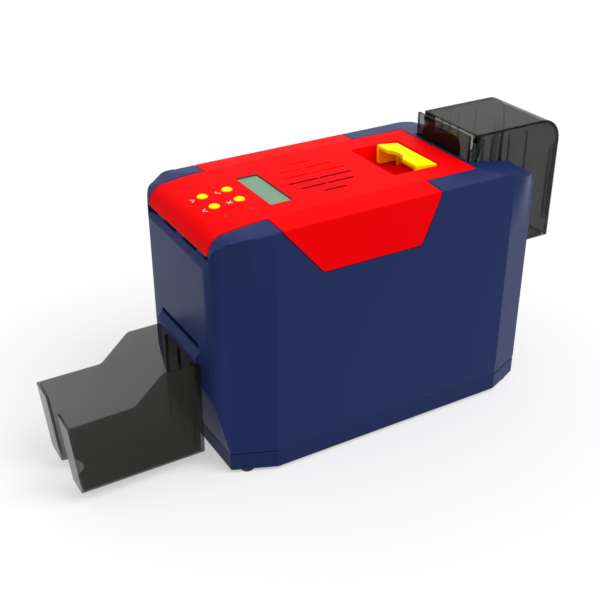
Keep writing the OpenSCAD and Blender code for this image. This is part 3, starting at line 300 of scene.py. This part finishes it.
def smoked(name, colour, straight, slanting, roughness, specular):
    """See-through plastic: its alpha is straight face on, and slanting where one looks along it."""
    material = moulded(name, colour, roughness, grain=300, smudges=0.04, bump_mm=0.01, strength=0.1,
                       Specular_IOR_Level=specular)
    tree = material.node_tree
    facing = tree.nodes.new("ShaderNodeLayerWeight").outputs["Facing"]
    slant = math_node(tree, "POWER", facing, 3.0)
    alpha = math_node(tree, "ADD", math_node(tree, "MULTIPLY", slant, slanting - straight), straight)
    tree.links.new(alpha, tree.nodes["Principled BSDF"].inputs["Alpha"])
    return material


finish = {
    "casing_blue": moulded("casing_blue", linear(27, 43, 94), 0.38, grain=1700, bump_mm=0.04,
                           Specular_IOR_Level=0.11),
    "base_blue": moulded("base_blue", linear(25, 40, 88), 0.42, grain=1700, bump_mm=0.04,
                         Specular_IOR_Level=0.11),
    "cover_red": moulded("cover_red", linear(255, 2, 8), 0.44, grain=1800, drift=0.01, bump_mm=0.02,
                         Specular_IOR_Level=0.02),
    "key_yellow": moulded("key_yellow", linear(254, 254, 1), 0.34, grain=2200, drift=0.01,
                          Specular_IOR_Level=0.04),
    "lever_yellow": moulded("lever_yellow", linear(254, 254, 1), 0.4, grain=1800, drift=0.01,
                            bump_mm=0.03, Specular_IOR_Level=0.02),
    "smoke": smoked("smoke", linear(36, 37, 33), 0.6, 0.9, 0.1, 0.14),
    "smoke_lid": smoked("smoke_lid", linear(24, 25, 22), 0.52, 0.85, 0.1, 0.12),
    "smoke_rib": smoked("smoke_rib", linear(20, 21, 18), 0.74, 0.9, 0.12, 0.08),
    "smoke_rim": smoked("smoke_rim", linear(12, 13, 11), 0.85, 0.97, 0.3, 0.04),
    "rubber": moulded("rubber", linear(20, 20, 22), 0.7, grain=900, bump_mm=0.12, strength=0.5),
    "roller_rubber": moulded("roller_rubber", linear(52, 53, 56), 0.6, grain=1100, bump_mm=0.1,
                             strength=0.5),
    "black_plastic": moulded("black_plastic", linear(24, 24, 26), 0.42, Specular_IOR_Level=0.3),
    "grey_plastic": moulded("grey_plastic", linear(70, 72, 78), 0.45),
    "white_plastic": moulded("white_plastic", linear(222, 220, 208), 0.38),
    "cleaner": moulded("cleaner", linear(205, 212, 218), 0.5, grain=600, bump_mm=0.1,
                       strength=0.4),
    "board_green": moulded("board_green", linear(18, 92, 48), 0.3, grain=2500),
    "film": moulded("film", linear(24, 26, 74), 0.14, grain=300, bump_mm=0.03, strength=0.2),
    "display": moulded("display", linear(122, 162, 131), 0.26, grain=2600, drift=0.03,
                       bump_mm=0.01, strength=0.1, Specular_IOR_Level=0.15),
    # Painted shade: a dark green for the walls round the display, standing in for the shade in its
    # recess
    "painted_display_recess_shade": moulded("painted_display_recess_shade", linear(30, 36, 32), 0.4, Specular_IOR_Level=0.2),
    "symbol_white": moulded("symbol_white", linear(236, 214, 220), 0.5, Specular_IOR_Level=0.1),
    "zinc": metal("zinc", linear(178, 180, 184), 0.34),
    "bright": metal("bright", linear(206, 208, 212), 0.2, cloud=0.06, spread=0.08),
    "brass": metal("brass", linear(206, 160, 84), 0.28),
    "motor": metal("motor", linear(96, 98, 104), 0.42),
}

SLOT_FINISH = {
    "casing_blue": "casing_blue", "cover_red": "cover_red", "control_yellow": "key_yellow",
    "smoke_plastic": "smoke", "foot_rubber": "rubber", "zinc_steel": "zinc",
    "bright_steel": "bright", "bronze": "brass",
    "track_grey": "grey_plastic", "black_plastic": "black_plastic", "motor_grey": "motor",
    "circuit_green": "board_green", "ribbon_blue": "film", "display_green": "display",
    "gear_white": "white_plastic", "cleaner_white": "cleaner",
}


# ---- Pieces ----
def body_of(node):
    """The body that a CAD node rides on."""
    bodies = frame["record"]["behaviour"]["bodies"]
    return next(name for name, members in bodies.items() if node in members)


def slot_of(node):
    """The record's material slot of a CAD node."""
    return next(part["material_slot"] for part in frame["record"]["subparts"] if part["node"] == node)


NODE_FINISH = {"hopper_hinge_pins": "black_plastic"}
for stage in ("pick", "feed", "platen", "transport", "exit", "feed_pinch", "transport_pinch"):
    NODE_FINISH[stage + "_roller"] = "roller_rubber"


def give_finishes():
    """A material for every CAD node, by its own name or its slot."""
    for node, solid in frame["nodes"].items():
        solid.data.materials.clear()
        solid.data.materials.append(finish[NODE_FINISH.get(node, SLOT_FINISH[slot_of(node)])])


MERGE = 2e-6
FLAT_ANGLE = math.radians(0.6)


def merged_mesh(node):
    """The node's triangles joined into whole flat faces."""
    shape = bmesh.new()
    shape.from_mesh(frame["nodes"][node].data)
    bmesh.ops.remove_doubles(shape, verts=shape.verts, dist=MERGE)
    bmesh.ops.dissolve_limit(shape, angle_limit=FLAT_ANGLE, verts=shape.verts, edges=shape.edges)
    return shape


# How much of a face's width one bevel may take, alone or with another bevel at the far side
ROOM_ALONE, ROOM_SHARED = 0.85, 0.42
LEAST_WEIGHT = 0.12
SIDE_BY_SIDE = 0.9


def weigh_edges(shape, edge_mm, angle):
    """Bevel weights: full on the sharp edges, and less where the faces beside one are narrow."""
    layer = shape.edges.layers.float.new("bevel_weight_edge")
    sharp = {edge for edge in shape.edges
             if len(edge.link_faces) == 2 and edge.calc_face_angle(0.0) >= angle}
    for vert in shape.verts:
        # Two sharp edges that run side by side from a point leave no room for a bevel
        fan = [(edge, (edge.other_vert(vert).co - vert.co).normalized())
               for edge in vert.link_edges if edge in sharp]
        for index, (edge, way) in enumerate(fan):
            for other, other_way in fan[index + 1:]:
                if way.dot(other_way) > SIDE_BY_SIDE:
                    sharp -= {edge, other}
    for edge in sharp:
        along = (edge.verts[1].co - edge.verts[0].co).normalized()
        room = 1.0
        for vert in edge.verts:
            for other in vert.link_edges:
                reach = other.verts[1].co - other.verts[0].co
                across = (reach - along * reach.dot(along)).length
                if across > 0.02 * reach.length:
                    beyond = [e for e in other.other_vert(vert).link_edges if e != other and e in sharp]
                    room = min(room, across * (ROOM_SHARED if beyond else ROOM_ALONE))
        room /= edge_mm * MM
        edge[layer] = min(1.0, room) if room > LEAST_WEIGHT else 0.0


def settle(piece, node, name):
    """Applies a piece's modifiers and puts the plain mesh in place of the node."""
    depsgraph = bpy.context.evaluated_depsgraph_get()
    plain = bpy.data.meshes.new_from_object(piece.evaluated_get(depsgraph))
    plain.name = name
    piece.modifiers.clear()
    piece.data = plain
    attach(piece, body_of(node))
    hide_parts(node)
    return piece


def rounded_copy(node, finishes, edge_mm, segments=2, angle=28, smooth=32, form=None, rim=None):
    """A copy of a node with rounded edges, which takes its place.

    form reshapes or marks the merged mesh first, and rim is the finish of the rounded edges.
    """
    shape = merged_mesh(node)
    if form:
        form(shape)
        shape.normal_update()
    weigh_edges(shape, edge_mm, math.radians(angle))
    data = bpy.data.meshes.new(node + "_shape")
    shape.to_mesh(data)
    shape.free()
    for label in finishes:
        data.materials.append(finish[label])
    piece = bpy.data.objects.new(node + "_shape", data)
    collection.objects.link(piece)
    for face in data.polygons:
        face.use_smooth = True
    data.set_sharp_from_angle(angle=math.radians(smooth))
    bevel = piece.modifiers.new("edges", "BEVEL")
    bevel.width = edge_mm * MM
    bevel.segments = segments
    bevel.limit_method = "WEIGHT"
    bevel.use_clamp_overlap = False
    bevel.miter_outer = "MITER_ARC"
    if rim is not None:
        bevel.material = rim
    flat = piece.modifiers.new("flat_faces", "WEIGHTED_NORMAL")
    flat.keep_sharp = True
    return settle(piece, node, node + "_shape")


# ---- Casing ----
# The casing's outline and roof in millimetres, from the middle of the base and the table
HALF_L, HALF_W = 120.0, 60.7
LEFT_CUT, RIGHT_CUT = (29.3, 12.2), (27.4, 11.4)
BULGE_R = 10.0
COVER_EDGE = 43.9
ROOF = 177.0
# The roof's line in X and Z: a leaning end wall, a small round, a long crown, a flat, a fall, a round
LIP_LEAN = math.radians(12)
LIP_X, LIP_Z, LIP_R = -115.3, 162.501, 12.0
CROWN_X, CROWN_R = -83.544, 215.0
FALL_X, FALL_SLOPE = 73.0, 0.1667
DECK_FROM, DECK_X, DECK_Z, DECK_R = 60.0, 104.0, 155.61, 16.0
LIP_END = LIP_X - LIP_R * math.cos(LIP_LEAN)
LIP_MEETS_CROWN = CROWN_X + (LIP_X - CROWN_X) * CROWN_R / (CROWN_R - LIP_R)
FALL_MEETS_DECK = DECK_X + DECK_R * math.sin(math.atan(FALL_SLOPE))
# The roof's fall across the casing, past SHOULDER from the middle
SHOULDER, SHOULDER_FALL = 43.3, 1.7
# What the dressed casing has at its upper corners: how far the output end's cuts stand out, how far
# the roof falls into the corners, and the heights between which the walls flare
CROWN_KINK = 5.5
CORNER_FALL = 2.1
# Where the cuts begin to show along the roof, and how deep the input end's cut is there
CUT_SHOWS_LEFT, CUT_SHOWS_RIGHT = -104.0, 97.0
INPUT_CROWN_CUT = 15.0
FLARE_FROM, FLARE_FULL = 128.0, 171.5
# How the flare's walls rise: its power along the cuts, and what is added to it from LATE_FROM on
FLARE_POWER, LATE_POWER, LATE_FROM = 1.3, 1.2, -106.0
# Where the roof's corner fall begins and is full, in X at each end and in Y
CORNER_LEFT, CORNER_RIGHT = (-108.0, -121.0), (93.0, 107.0)
CORNER_ACROSS = (COVER_EDGE, COVER_EDGE + 13)
# Cuts that give the walls and the roof enough points to bend; the gaps keep them off the edges
CUT_STEPS, BULGE_STEPS = (11, 12), 3
FLARE_BANDS = [FLARE_FROM + 5 * index for index in range(9)]
ROOF_BANDS = [46 + 3 * index for index in range(5)]
TOP_GAP, BAND_GAP, ROW_GAP, BULGE_GAP, END_GAP = 2.2, 1.5, 1.8, 1.6, 0.6
# Height from which a wall's points follow the roof down into the corners
WALL_FOLLOWS = 150.0
ON_SURFACE = 0.07
BULGE_Y = HALF_W - LEFT_CUT[1] - BULGE_R
middle = [(low + high) / 2 / MM for low, high in zip(*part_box("base_tray"))]


def round_rise(radius, along):
    """Height of a circle over its centre, along from it."""
    return math.sqrt(max(0.0, radius ** 2 - along ** 2))


def share_of(value, start, end):
    """How far value has gone from start, 0, to end, 1."""
    return min(1.0, max(0.0, (value - start) / (end - start)))


def roof_height(x, y):
    """Height of the roof over a point of the outline, y counted from the middle."""
    if x < LIP_END:
        side = LIP_Z + LIP_R * math.sin(LIP_LEAN) - (LIP_END - x) / math.tan(LIP_LEAN)
    elif x < LIP_MEETS_CROWN:
        side = LIP_Z + round_rise(LIP_R, x - LIP_X)
    elif x < CROWN_X:
        side = ROOF - CROWN_R + round_rise(CROWN_R, x - CROWN_X)
    elif x < FALL_X:
        side = ROOF
    elif x < FALL_MEETS_DECK:
        side = ROOF - FALL_SLOPE * (x - FALL_X)
    else:
        side = DECK_Z + round_rise(DECK_R, x - DECK_X)
    across = max(0.0, y - SHOULDER) / (HALF_W - SHOULDER)
    return min(side, ROOF - SHOULDER_FALL * across)


def outline_half(x):
    """Half the casing's width at x, near the base."""
    if x < -HALF_L:
        return BULGE_Y + round_rise(BULGE_R, x + HALF_L)
    long, deep = LEFT_CUT if x < 0 else RIGHT_CUT
    return HALF_W - max(0.0, abs(x) - HALF_L + long) * deep / long


def crown_half(x):
    """Half the casing's width at x, along the roof, where the cuts run out into the long faces."""
    low = outline_half(x)
    if x < -HALF_L:
        return low + CROWN_KINK * ((low - BULGE_Y) / BULGE_R) ** 1.5
    if x < 0:
        share = share_of(x, CUT_SHOWS_LEFT, -HALF_L)
        return max(low, HALF_W - (LEFT_CUT[1] - CROWN_KINK) * share ** 2)
    return max(low, HALF_W - INPUT_CROWN_CUT * share_of(x, CUT_SHOWS_RIGHT, HALF_L) ** 2)


def flare(x, z):
    """How far a wall stands out from the base outline: nothing low down, and all of it at the roof."""
    rise = share_of(z, FLARE_FROM, FLARE_FULL)
    power = FLARE_POWER + LATE_POWER * share_of(x, LATE_FROM, -HALF_L)
    return (crown_half(x) - outline_half(x)) * rise ** power


def crown_height(x, y):
    """Height of the dressed roof, which falls a little more into the corners."""
    reach = share_of(y, *CORNER_ACROSS) ** 2
    end = share_of(x, *(CORNER_LEFT if x < 0 else CORNER_RIGHT))
    return roof_height(x, y) - CORNER_FALL * reach * end * end * (3 - 2 * end)


def casing_place(co):
    """A mesh point as outline millimetres, with y made positive, and the side that it came from."""
    return co.x / MM - middle[0], abs(co.y) / MM, co.z / MM, 1 if co.y > 0 else -1


def on_wall(co):
    """Whether a point lies on the casing's outline."""
    x, y, _, _ = casing_place(co)
    return abs(x) < HALF_L + BULGE_R and abs(y - outline_half(x)) < ON_SURFACE


def on_roof(co):
    """Whether a point lies on the roof beside the cover."""
    x, y, z, _ = casing_place(co)
    return y > COVER_EDGE - 1 and abs(z - roof_height(x, y)) < ON_SURFACE


def is_wall(face):
    """Whether a face is part of the casing's outer wall."""
    return abs(face.normal.z) < 0.25 and all(on_wall(vert.co) for vert in face.verts)


def is_roof(face):
    """Whether a face is part of the roof beside the cover."""
    return face.normal.z > 0.1 and all(on_roof(vert.co) for vert in face.verts)


def is_deck(face):
    """Whether a face is part of the roof, of any reach in Y, beside the input hopper."""
    places = [casing_place(vert.co) for vert in face.verts]
    return face.normal.z > 0.1 and all(
        x > DECK_FROM and abs(z - roof_height(x, y)) < ON_SURFACE for x, y, z, _ in places)


def slice_faces(shape, chosen, axis, places, start=-1e3, end=1e3):
    """Cuts the chosen faces at places along an axis, in millimetres, between start and end in X."""
    normal = Vector((0, 0, 0))
    normal[axis] = 1
    for place in places:
        level = place * MM
        geometry = {}
        for face in shape.faces:
            spread = [vert.co[axis] for vert in face.verts]
            if not min(spread) < level - 1e-6 < level + 1e-6 < max(spread):
                continue
            across = [vert.co.x / MM - middle[0] for vert in face.verts]
            if min(across) < start - 0.1 or max(across) > end + 0.1 or not chosen(face):
                continue
            geometry.update(dict.fromkeys([face, *face.edges, *face.verts]))
        if geometry:
            bmesh.ops.bisect_plane(shape, geom=list(geometry), dist=1e-7, plane_co=normal * level,
                                   plane_no=normal)


def steps(start, end, count):
    """Evenly spaced values from start to end, both included."""
    return [start + (end - start) * index / count for index in range(count + 1)]


def raise_crown(shape):
    """Turns the corner cuts' upper ends out to the casing's full width."""
    left, right = -(HALF_L - LEFT_CUT[0]), HALF_L - RIGHT_CUT[0]

    def is_side(face):
        return is_wall(face) or is_roof(face)

    def straddles(face):
        """Whether a many-sided roof face runs well past the place where the left cut starts."""
        places = [vert.co.x / MM - middle[0] for vert in face.verts]
        cut_side, long_side = left - 0.3, left + 0.7
        return (len(places) > 4 and is_roof(face)
                and min(places) < cut_side and max(places) > long_side)

    bmesh.ops.triangulate(shape, faces=[face for face in shape.faces if straddles(face)])
    slice_faces(shape, is_deck, 1, (-COVER_EDGE, COVER_EDGE))
    bulge = steps(-HALF_L - 4 * BULGE_GAP, -HALF_L - BULGE_GAP, BULGE_STEPS)
    output_end = bulge + steps(-HALF_L, left, CUT_STEPS[0])
    input_end = steps(right, HALF_L - END_GAP, CUT_STEPS[1])
    for places in (output_end, input_end):
        slice_faces(shape, is_side, 0, [middle[0] + x for x in places])
        for start, end in zip(places, places[1:]):
            half = min(outline_half(start), outline_half(end))
            top = min(roof_height(start, half), roof_height(end, half)) - TOP_GAP
            bands = [z for z in FLARE_BANDS if z < top - BAND_GAP]
            slice_faces(shape, is_wall, 2, bands + [top], start, end)
            for side in (-1, 1):
                rows = [side * y for y in ROOF_BANDS if y < half - ROW_GAP]
                slice_faces(shape, is_roof, 1, rows, start, end)
    for vert in shape.verts:
        x, y, z, side = casing_place(vert.co)
        if left < x < right or y < COVER_EDGE or z < FLARE_FROM:
            continue
        edge = outline_half(x)
        if on_roof(vert.co) and edge > COVER_EDGE + 0.5:
            stretch = (edge + flare(x, z) - COVER_EDGE) / (edge - COVER_EDGE)
            new_y = COVER_EDGE + (y - COVER_EDGE) * stretch
            vert.co.y = side * new_y * MM
            vert.co.z = crown_height(x, new_y) * MM
        elif on_wall(vert.co):
            top = roof_height(x, y)
            fall = top - crown_height(x, y)
            vert.co.y = side * (y + flare(x, z)) * MM
            follow = max(0.0, (z - WALL_FOLLOWS) / max(1.0, top - WALL_FOLLOWS))
            vert.co.z = (z - fall * follow) * MM


# ---- Clear hoppers ----
# The lid in millimetres: the raised bars' height, the wall and the round of its upper end corner
LID_BAR = 0.8
LID_WALL = 1.5
LID_ROUND = 17.0
LID_STEPS = 16
# The border bands: how far they stay inside the lid's skin, and their two faces' depths in its wall
BAND_INSET, BAND_WIDER = 0.1, 0.4
BAND_FACES = (1.2, 0.5)
# The deepest card rib, from the lid's wall, and the slack of both marks
RIB_DEPTH, MARK_SLACK = 1.5, 0.1
# Least bend, in radians, at the long edges of a rim
RIM_BEND = 0.5


def mark_rims(shape, widest=2.2):
    """Wall ends, rims and rib sides of a clear hopper take the second, darker finish."""
    for face in shape.faces:
        width = 2 * face.calc_area() / max(face.calc_perimeter(), 1e-9)
        if width > widest / 2 * MM:
            continue
        longest = sorted(face.edges, key=lambda edge: -edge.calc_length())[:2]
        if all(edge.calc_face_angle(0.0) > RIM_BEND for edge in longest):
            face.material_index = 1


def mark_lid(shape):
    """The lid's card ribs and the raised bars on its sides are thicker: they take the third finish."""
    mark_rims(shape)
    reach = max(vert.co.y for vert in shape.verts) / MM
    inside = LID_BAR + LID_WALL
    for face in shape.faces:
        depth = reach - abs(face.calc_center_median().y) / MM
        on_bar = depth < LID_BAR - MARK_SLACK
        on_rib = inside + MARK_SLACK < depth < inside + RIB_DEPTH
        if abs(face.normal.y) > 0.9 and (on_bar or on_rib):
            face.material_index = 2


def mark_plate(shape):
    """The input hopper's frame is thicker than the lid, so its broader edges are dark too."""
    mark_rims(shape, 4.5)


def lid_corner(depth):
    """The lid's outline in millimetres, along the top, round the corner and down, inside by depth."""
    low, high = ([value / MM for value in corner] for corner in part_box("input_hopper_cover"))
    radius = LID_ROUND - depth
    centre = (high[0] - LID_ROUND, high[2] - LID_ROUND)
    arc = [(centre[0] + radius * math.cos(turn), centre[1] + radius * math.sin(turn))
           for turn in steps(math.pi / 2, 0.0, LID_STEPS)]
    return ([(low[0] + BAND_INSET, high[2] - depth)] + arc
            + [(high[0] - depth, low[2] + BAND_INSET)])


def make_lid_borders():
    """The lid's top and end walls seen edge on: a dark band inside each long wall."""
    outer, inner = lid_corner(BAND_INSET), lid_corner(LID_WALL + BAND_WIDER)
    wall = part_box("input_hopper_cover")[1].y / MM - LID_BAR
    for name, side in (("near", -1), ("far", 1)):
        shape = bmesh.new()
        rings = [[shape.verts.new((x * MM, side * y * MM, z * MM)) for x, z in outer + inner[::-1]]
                 for y in (wall - depth for depth in BAND_FACES)]
        loop = len(rings[0])
        for start in range(len(outer) - 1):
            last = loop - 1 - start
            for ring in rings:
                shape.faces.new([ring[start], ring[start + 1], ring[last - 1], ring[last]])
        for start in range(loop):
            end = (start + 1) % loop
            shape.faces.new([rings[0][start], rings[0][end], rings[1][end], rings[1][start]])
        bmesh.ops.recalc_face_normals(shape, faces=shape.faces)
        data = bpy.data.meshes.new("lid_border_" + name)
        shape.to_mesh(data)
        shape.free()
        data.materials.append(finish["smoke_rib"])
        border = bpy.data.objects.new(data.name, data)
        collection.objects.link(border)
        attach(border, body_of("input_hopper_cover"))


# ---- Top cover ----
# The near vents' region on the cover, in millimetres: from X, to X, from Y, to Y
VENTS = (-20.0, 30.5, -27.5, -3.0)
COVER_SKIN = 4.0


def mark_cover(shape):
    """The near vent slots' walls are painted black as painted shade inside the slots, and the walls
    round the display take a dark green as painted shade in its recess.
    """
    window_low, window_high = (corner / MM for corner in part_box("display_window"))
    for face in shape.faces:
        x, y, z = face.calc_center_median() / MM
        if abs(face.normal.z) > 0.5 or z < ROOF - COVER_SKIN:
            continue
        # Painted shade: the near vent slots' walls take the black finish, which stands in for the dark
        # inside the slots
        if VENTS[0] < x < VENTS[1] and VENTS[2] < y < VENTS[3]:
            face.material_index = 1
        # Painted shade: the walls round the display take a dark green that stands in for the shade in
        # its recess
        elif window_low.x < x < window_high.x and window_low.y < y < window_high.y:
            face.material_index = 2


def make_shells():
    """The outer pieces, with rounded edges of real size."""
    rounded_copy("main_casing", ["casing_blue"], 1.1, 3, smooth=14, form=raise_crown)
    rounded_copy("base_tray", ["base_blue"], 0.5, 2, smooth=14)
    # The cover's second finish is painted shade in the near vent slots; its third is painted shade on
    # the display's recess walls
    rounded_copy("top_cover", ["cover_red", "black_plastic", "painted_display_recess_shade"], 0.35, 2, smooth=20,
                 form=mark_cover)
    rounded_copy("release_lever", ["lever_yellow"], 0.5, 3)
    for key in ("up", "down", "enter", "cancel"):
        rounded_copy("button_" + key, ["key_yellow"], 0.25, 2)
    rounded_copy("output_hopper", ["smoke", "smoke_rim"], 0.25, 2, form=mark_rims, rim=1)
    rounded_copy("input_hopper_cover", ["smoke_lid", "smoke_rim", "smoke_rib"], 0.2, 2,
                 form=mark_lid, rim=1)
    make_lid_borders()
    rounded_copy("input_hopper_frame", ["smoke_lid", "smoke_rim"], 0.15, 2, form=mark_plate, rim=1)


# ---- Key symbols ----
SYMBOL_LINE = 0.7 * MM
SYMBOL_RISE = 0.03 * MM
SYMBOL_OFFSET = (-7.4 * MM, -1.2 * MM)
SYMBOL_SIZE = 1.7 * MM
# Strokes of each symbol; the first axis points to the reader's right, the second away from the reader
SYMBOLS = {
    "button_up": [[(-1, -0.5), (0, 0.6), (1, -0.5)]],
    "button_down": [[(-1, 0.5), (0, -0.6), (1, 0.5)]],
    "button_enter": [[(-1, 0), (-0.35, -0.7), (1, 0.8)]],
    "button_cancel": [[(-0.8, -0.8), (0.8, 0.8)], [(-0.8, 0.8), (0.8, -0.8)]],
}


def top_of(node):
    """A function that gives the height of a node's upper skin over a point."""
    source = frame["nodes"][node].data
    tree = BVHTree.FromPolygons([v.co for v in source.vertices], [p.vertices for p in source.polygons])
    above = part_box(node)[1].z + 10 * MM

    def height(x, y):
        return tree.ray_cast(Vector((x, y, above)), Vector((0, 0, -1)))[0].z
    return height


def make_symbols():
    """White symbols beside the four keys, read from the output end."""
    height = top_of("top_cover")
    for node, strokes in SYMBOLS.items():
        low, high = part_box(node)
        centre = (low + high) / 2
        verts, faces = [], []
        for stroke in strokes:
            for start, end in zip(stroke, stroke[1:]):
                # The reader's right is -Y, and away from the reader is +X
                a = Vector((start[1], -start[0])) * SYMBOL_SIZE
                b = Vector((end[1], -end[0])) * SYMBOL_SIZE
                along = (b - a).normalized() * SYMBOL_LINE / 2
                side = Vector((-along.y, along.x))
                corners = [a - along + side, a - along - side, b + along - side, b + along + side]
                base = len(verts)
                for corner in corners:
                    x = centre.x + SYMBOL_OFFSET[0] + corner.x
                    y = centre.y + SYMBOL_OFFSET[1] + corner.y
                    verts.append((x, y, height(x, y) + SYMBOL_RISE))
                faces.append([base, base + 1, base + 2, base + 3])
        data = bpy.data.meshes.new("symbol_" + node.removeprefix("button_"))
        data.from_pydata(verts, [], faces)
        data.materials.append(finish["symbol_white"])
        symbol = bpy.data.objects.new(data.name, data)
        collection.objects.link(symbol)
        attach(symbol, "cover")


# ---- Repeated parts ----
def start_tree(name, inputs):
    """A Geometry Nodes tree with named inputs, given as (name, socket type)."""
    tree = bpy.data.node_groups.new(name, "GeometryNodeTree")
    tree.interface.new_socket("Geometry", in_out="OUTPUT", socket_type="NodeSocketGeometry")
    for label, kind in inputs:
        tree.interface.new_socket(label, in_out="INPUT", socket_type="NodeSocket" + kind)
    return tree, tree.nodes.new("NodeGroupInput").outputs


def end_tree(tree, geometry, material):
    """Realizes the instances and sets the tree's material."""
    plain = tree.nodes.new("GeometryNodeRealizeInstances")
    paint = tree.nodes.new("GeometryNodeSetMaterial")
    tree.links.new(geometry, plain.inputs[0])
    tree.links.new(plain.outputs[0], paint.inputs["Geometry"])
    tree.links.new(material, paint.inputs["Material"])
    tree.links.new(paint.outputs[0], tree.nodes.new("NodeGroupOutput").inputs[0])
    return tree


def join_xyz(tree, *parts):
    """A vector made of three sockets or numbers."""
    node = tree.nodes.new("ShaderNodeCombineXYZ")
    for socket, part in zip(node.inputs, parts):
        if isinstance(part, (int, float)):
            socket.default_value = part
        else:
            tree.links.new(part, socket)
    return node.outputs[0]


def make_row_tree():
    """A row of upright tapered pins: Count of them from Start, a Step apart."""
    tree, given = start_tree("pin_row", (
        ("Count", "Int"), ("Start", "Vector"), ("Step", "Vector"), ("Radius", "Float"),
        ("Height", "Float"), ("Material", "Material")))
    line = tree.nodes.new("GeometryNodeMeshLine")
    line.mode = "OFFSET"
    for label, socket in (("Count", "Count"), ("Start", "Start Location"), ("Step", "Offset")):
        tree.links.new(given[label], line.inputs[socket])
    pin = tree.nodes.new("GeometryNodeMeshCone")
    pin.inputs["Vertices"].default_value = 8
    tree.links.new(given["Radius"], pin.inputs["Radius Bottom"])
    tree.links.new(math_node(tree, "MULTIPLY", given["Radius"], 0.55), pin.inputs["Radius Top"])
    tree.links.new(given["Height"], pin.inputs["Depth"])
    place = tree.nodes.new("GeometryNodeInstanceOnPoints")
    tree.links.new(line.outputs[0], place.inputs["Points"])
    tree.links.new(pin.outputs[0], place.inputs["Instance"])
    return end_tree(tree, place.outputs[0], given["Material"])


def make_screen_tree():
    """A woven screen: wires along X and along Y, a Pitch apart, fill Length by Width round Middle."""
    tree, given = start_tree("dust_screen", (
        ("Middle", "Vector"), ("Length", "Float"), ("Width", "Float"), ("Pitch", "Float"),
        ("Radius", "Float"), ("Material", "Material")))
    weave = tree.nodes.new("GeometryNodeJoinGeometry")
    quarter = math.pi / 2
    for reach, spread, turn, lift in (("Length", "Width", (0, quarter, 0), -0.4),
                                      ("Width", "Length", (quarter, 0, 0), 0.4)):
        half = math_node(tree, "MULTIPLY", given[spread], -0.5)
        count = math_node(tree, "ADD", math_node(tree, "DIVIDE", given[spread], given["Pitch"]), 1.0)
        height = math_node(tree, "MULTIPLY", given["Radius"], lift)
        line = tree.nodes.new("GeometryNodeMeshLine")
        line.mode = "OFFSET"
        tree.links.new(count, line.inputs["Count"])
        start = (0.0, half, height) if reach == "Length" else (half, 0.0, height)
        tree.links.new(join_xyz(tree, *start), line.inputs["Start Location"])
        step = (0.0, given["Pitch"], 0.0) if reach == "Length" else (given["Pitch"], 0.0, 0.0)
        tree.links.new(join_xyz(tree, *step), line.inputs["Offset"])
        wire = tree.nodes.new("GeometryNodeMeshCylinder")
        wire.inputs["Vertices"].default_value = 8
        tree.links.new(given["Radius"], wire.inputs["Radius"])
        tree.links.new(given[reach], wire.inputs["Depth"])
        place = tree.nodes.new("GeometryNodeInstanceOnPoints")
        place.inputs["Rotation"].default_value = turn
        tree.links.new(line.outputs[0], place.inputs["Points"])
        tree.links.new(wire.outputs[0], place.inputs["Instance"])
        tree.links.new(place.outputs[0], weave.inputs[0])
    move = tree.nodes.new("GeometryNodeTransform")
    tree.links.new(weave.outputs[0], move.inputs["Geometry"])
    tree.links.new(given["Middle"], move.inputs["Translation"])
    return end_tree(tree, move.outputs[0], given["Material"])


def grown(name, tree, values, body):
    """Runs a tree on an empty mesh and leaves a plain mesh that rides on a body."""
    piece = bpy.data.objects.new(name, bpy.data.meshes.new(name))
    collection.objects.link(piece)
    growth = piece.modifiers.new("growth", "NODES")
    growth.node_group = tree
    for item in tree.interface.items_tree:
        if item.in_out == "INPUT":
            growth[item.identifier] = values[item.name]
    depsgraph = bpy.context.evaluated_depsgraph_get()
    plain = bpy.data.meshes.new_from_object(piece.evaluated_get(depsgraph))
    plain.name = name
    piece.modifiers.clear()
    piece.data = plain
    for face in plain.polygons:
        face.use_smooth = True
    plain.set_sharp_from_angle(angle=math.radians(40))
    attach(piece, body)
    return piece


# The main board's rows of pins: first pin in X from the board's end, its Y, in millimetres, and count
PIN_ROWS = ((20, -30, 16), (70, -30, 12), (20, 30.5, 20))
PIN_PITCH, PIN_RADIUS, PIN_HEIGHT = 2.54 * MM, 0.45 * MM, 6.2 * MM
PIN_SUNK = 0.2 * MM
WIRE_PITCH, WIRE_RADIUS, WIRE_LIFT = 1.1 * MM, 0.42 * MM, 0.7 * MM


def make_repeats():
    """The dust screen under the near vents, and the main board's rows of pins."""
    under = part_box("display_window")[0].z + WIRE_LIFT
    grown("vent_screen", make_screen_tree(), {
        "Middle": ((VENTS[0] + VENTS[1]) / 2 * MM, (VENTS[2] + VENTS[3]) / 2 * MM, under),
        "Length": (VENTS[1] - VENTS[0]) * MM, "Width": (VENTS[3] - VENTS[2]) * MM,
        "Pitch": WIRE_PITCH, "Radius": WIRE_RADIUS, "Material": finish["black_plastic"]}, "cover")
    rows, board_end, height = make_row_tree(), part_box("main_board")[0].x, top_of("main_board")
    for index, (x, y, count) in enumerate(PIN_ROWS):
        first = (board_end + x * MM, y * MM)
        grown("board_pins_%d" % (index + 1), rows, {
            "Count": count, "Start": (*first, height(*first) - PIN_SUNK), "Step": (PIN_PITCH, 0, 0),
            "Radius": PIN_RADIUS, "Height": PIN_HEIGHT, "Material": finish["brass"]},
            body_of("main_board"))


give_finishes()
make_camera()
make_world()
make_floor()
soft_sun("key_sun", (0.32, -0.44, 0.62), 0.36, 40)
soft_sun("top_sun", (-0.1, 0.1, 1.0), 0.2, 90)
make_shells()
make_symbols()
make_repeats()

scene.view_settings.view_transform = "Standard"
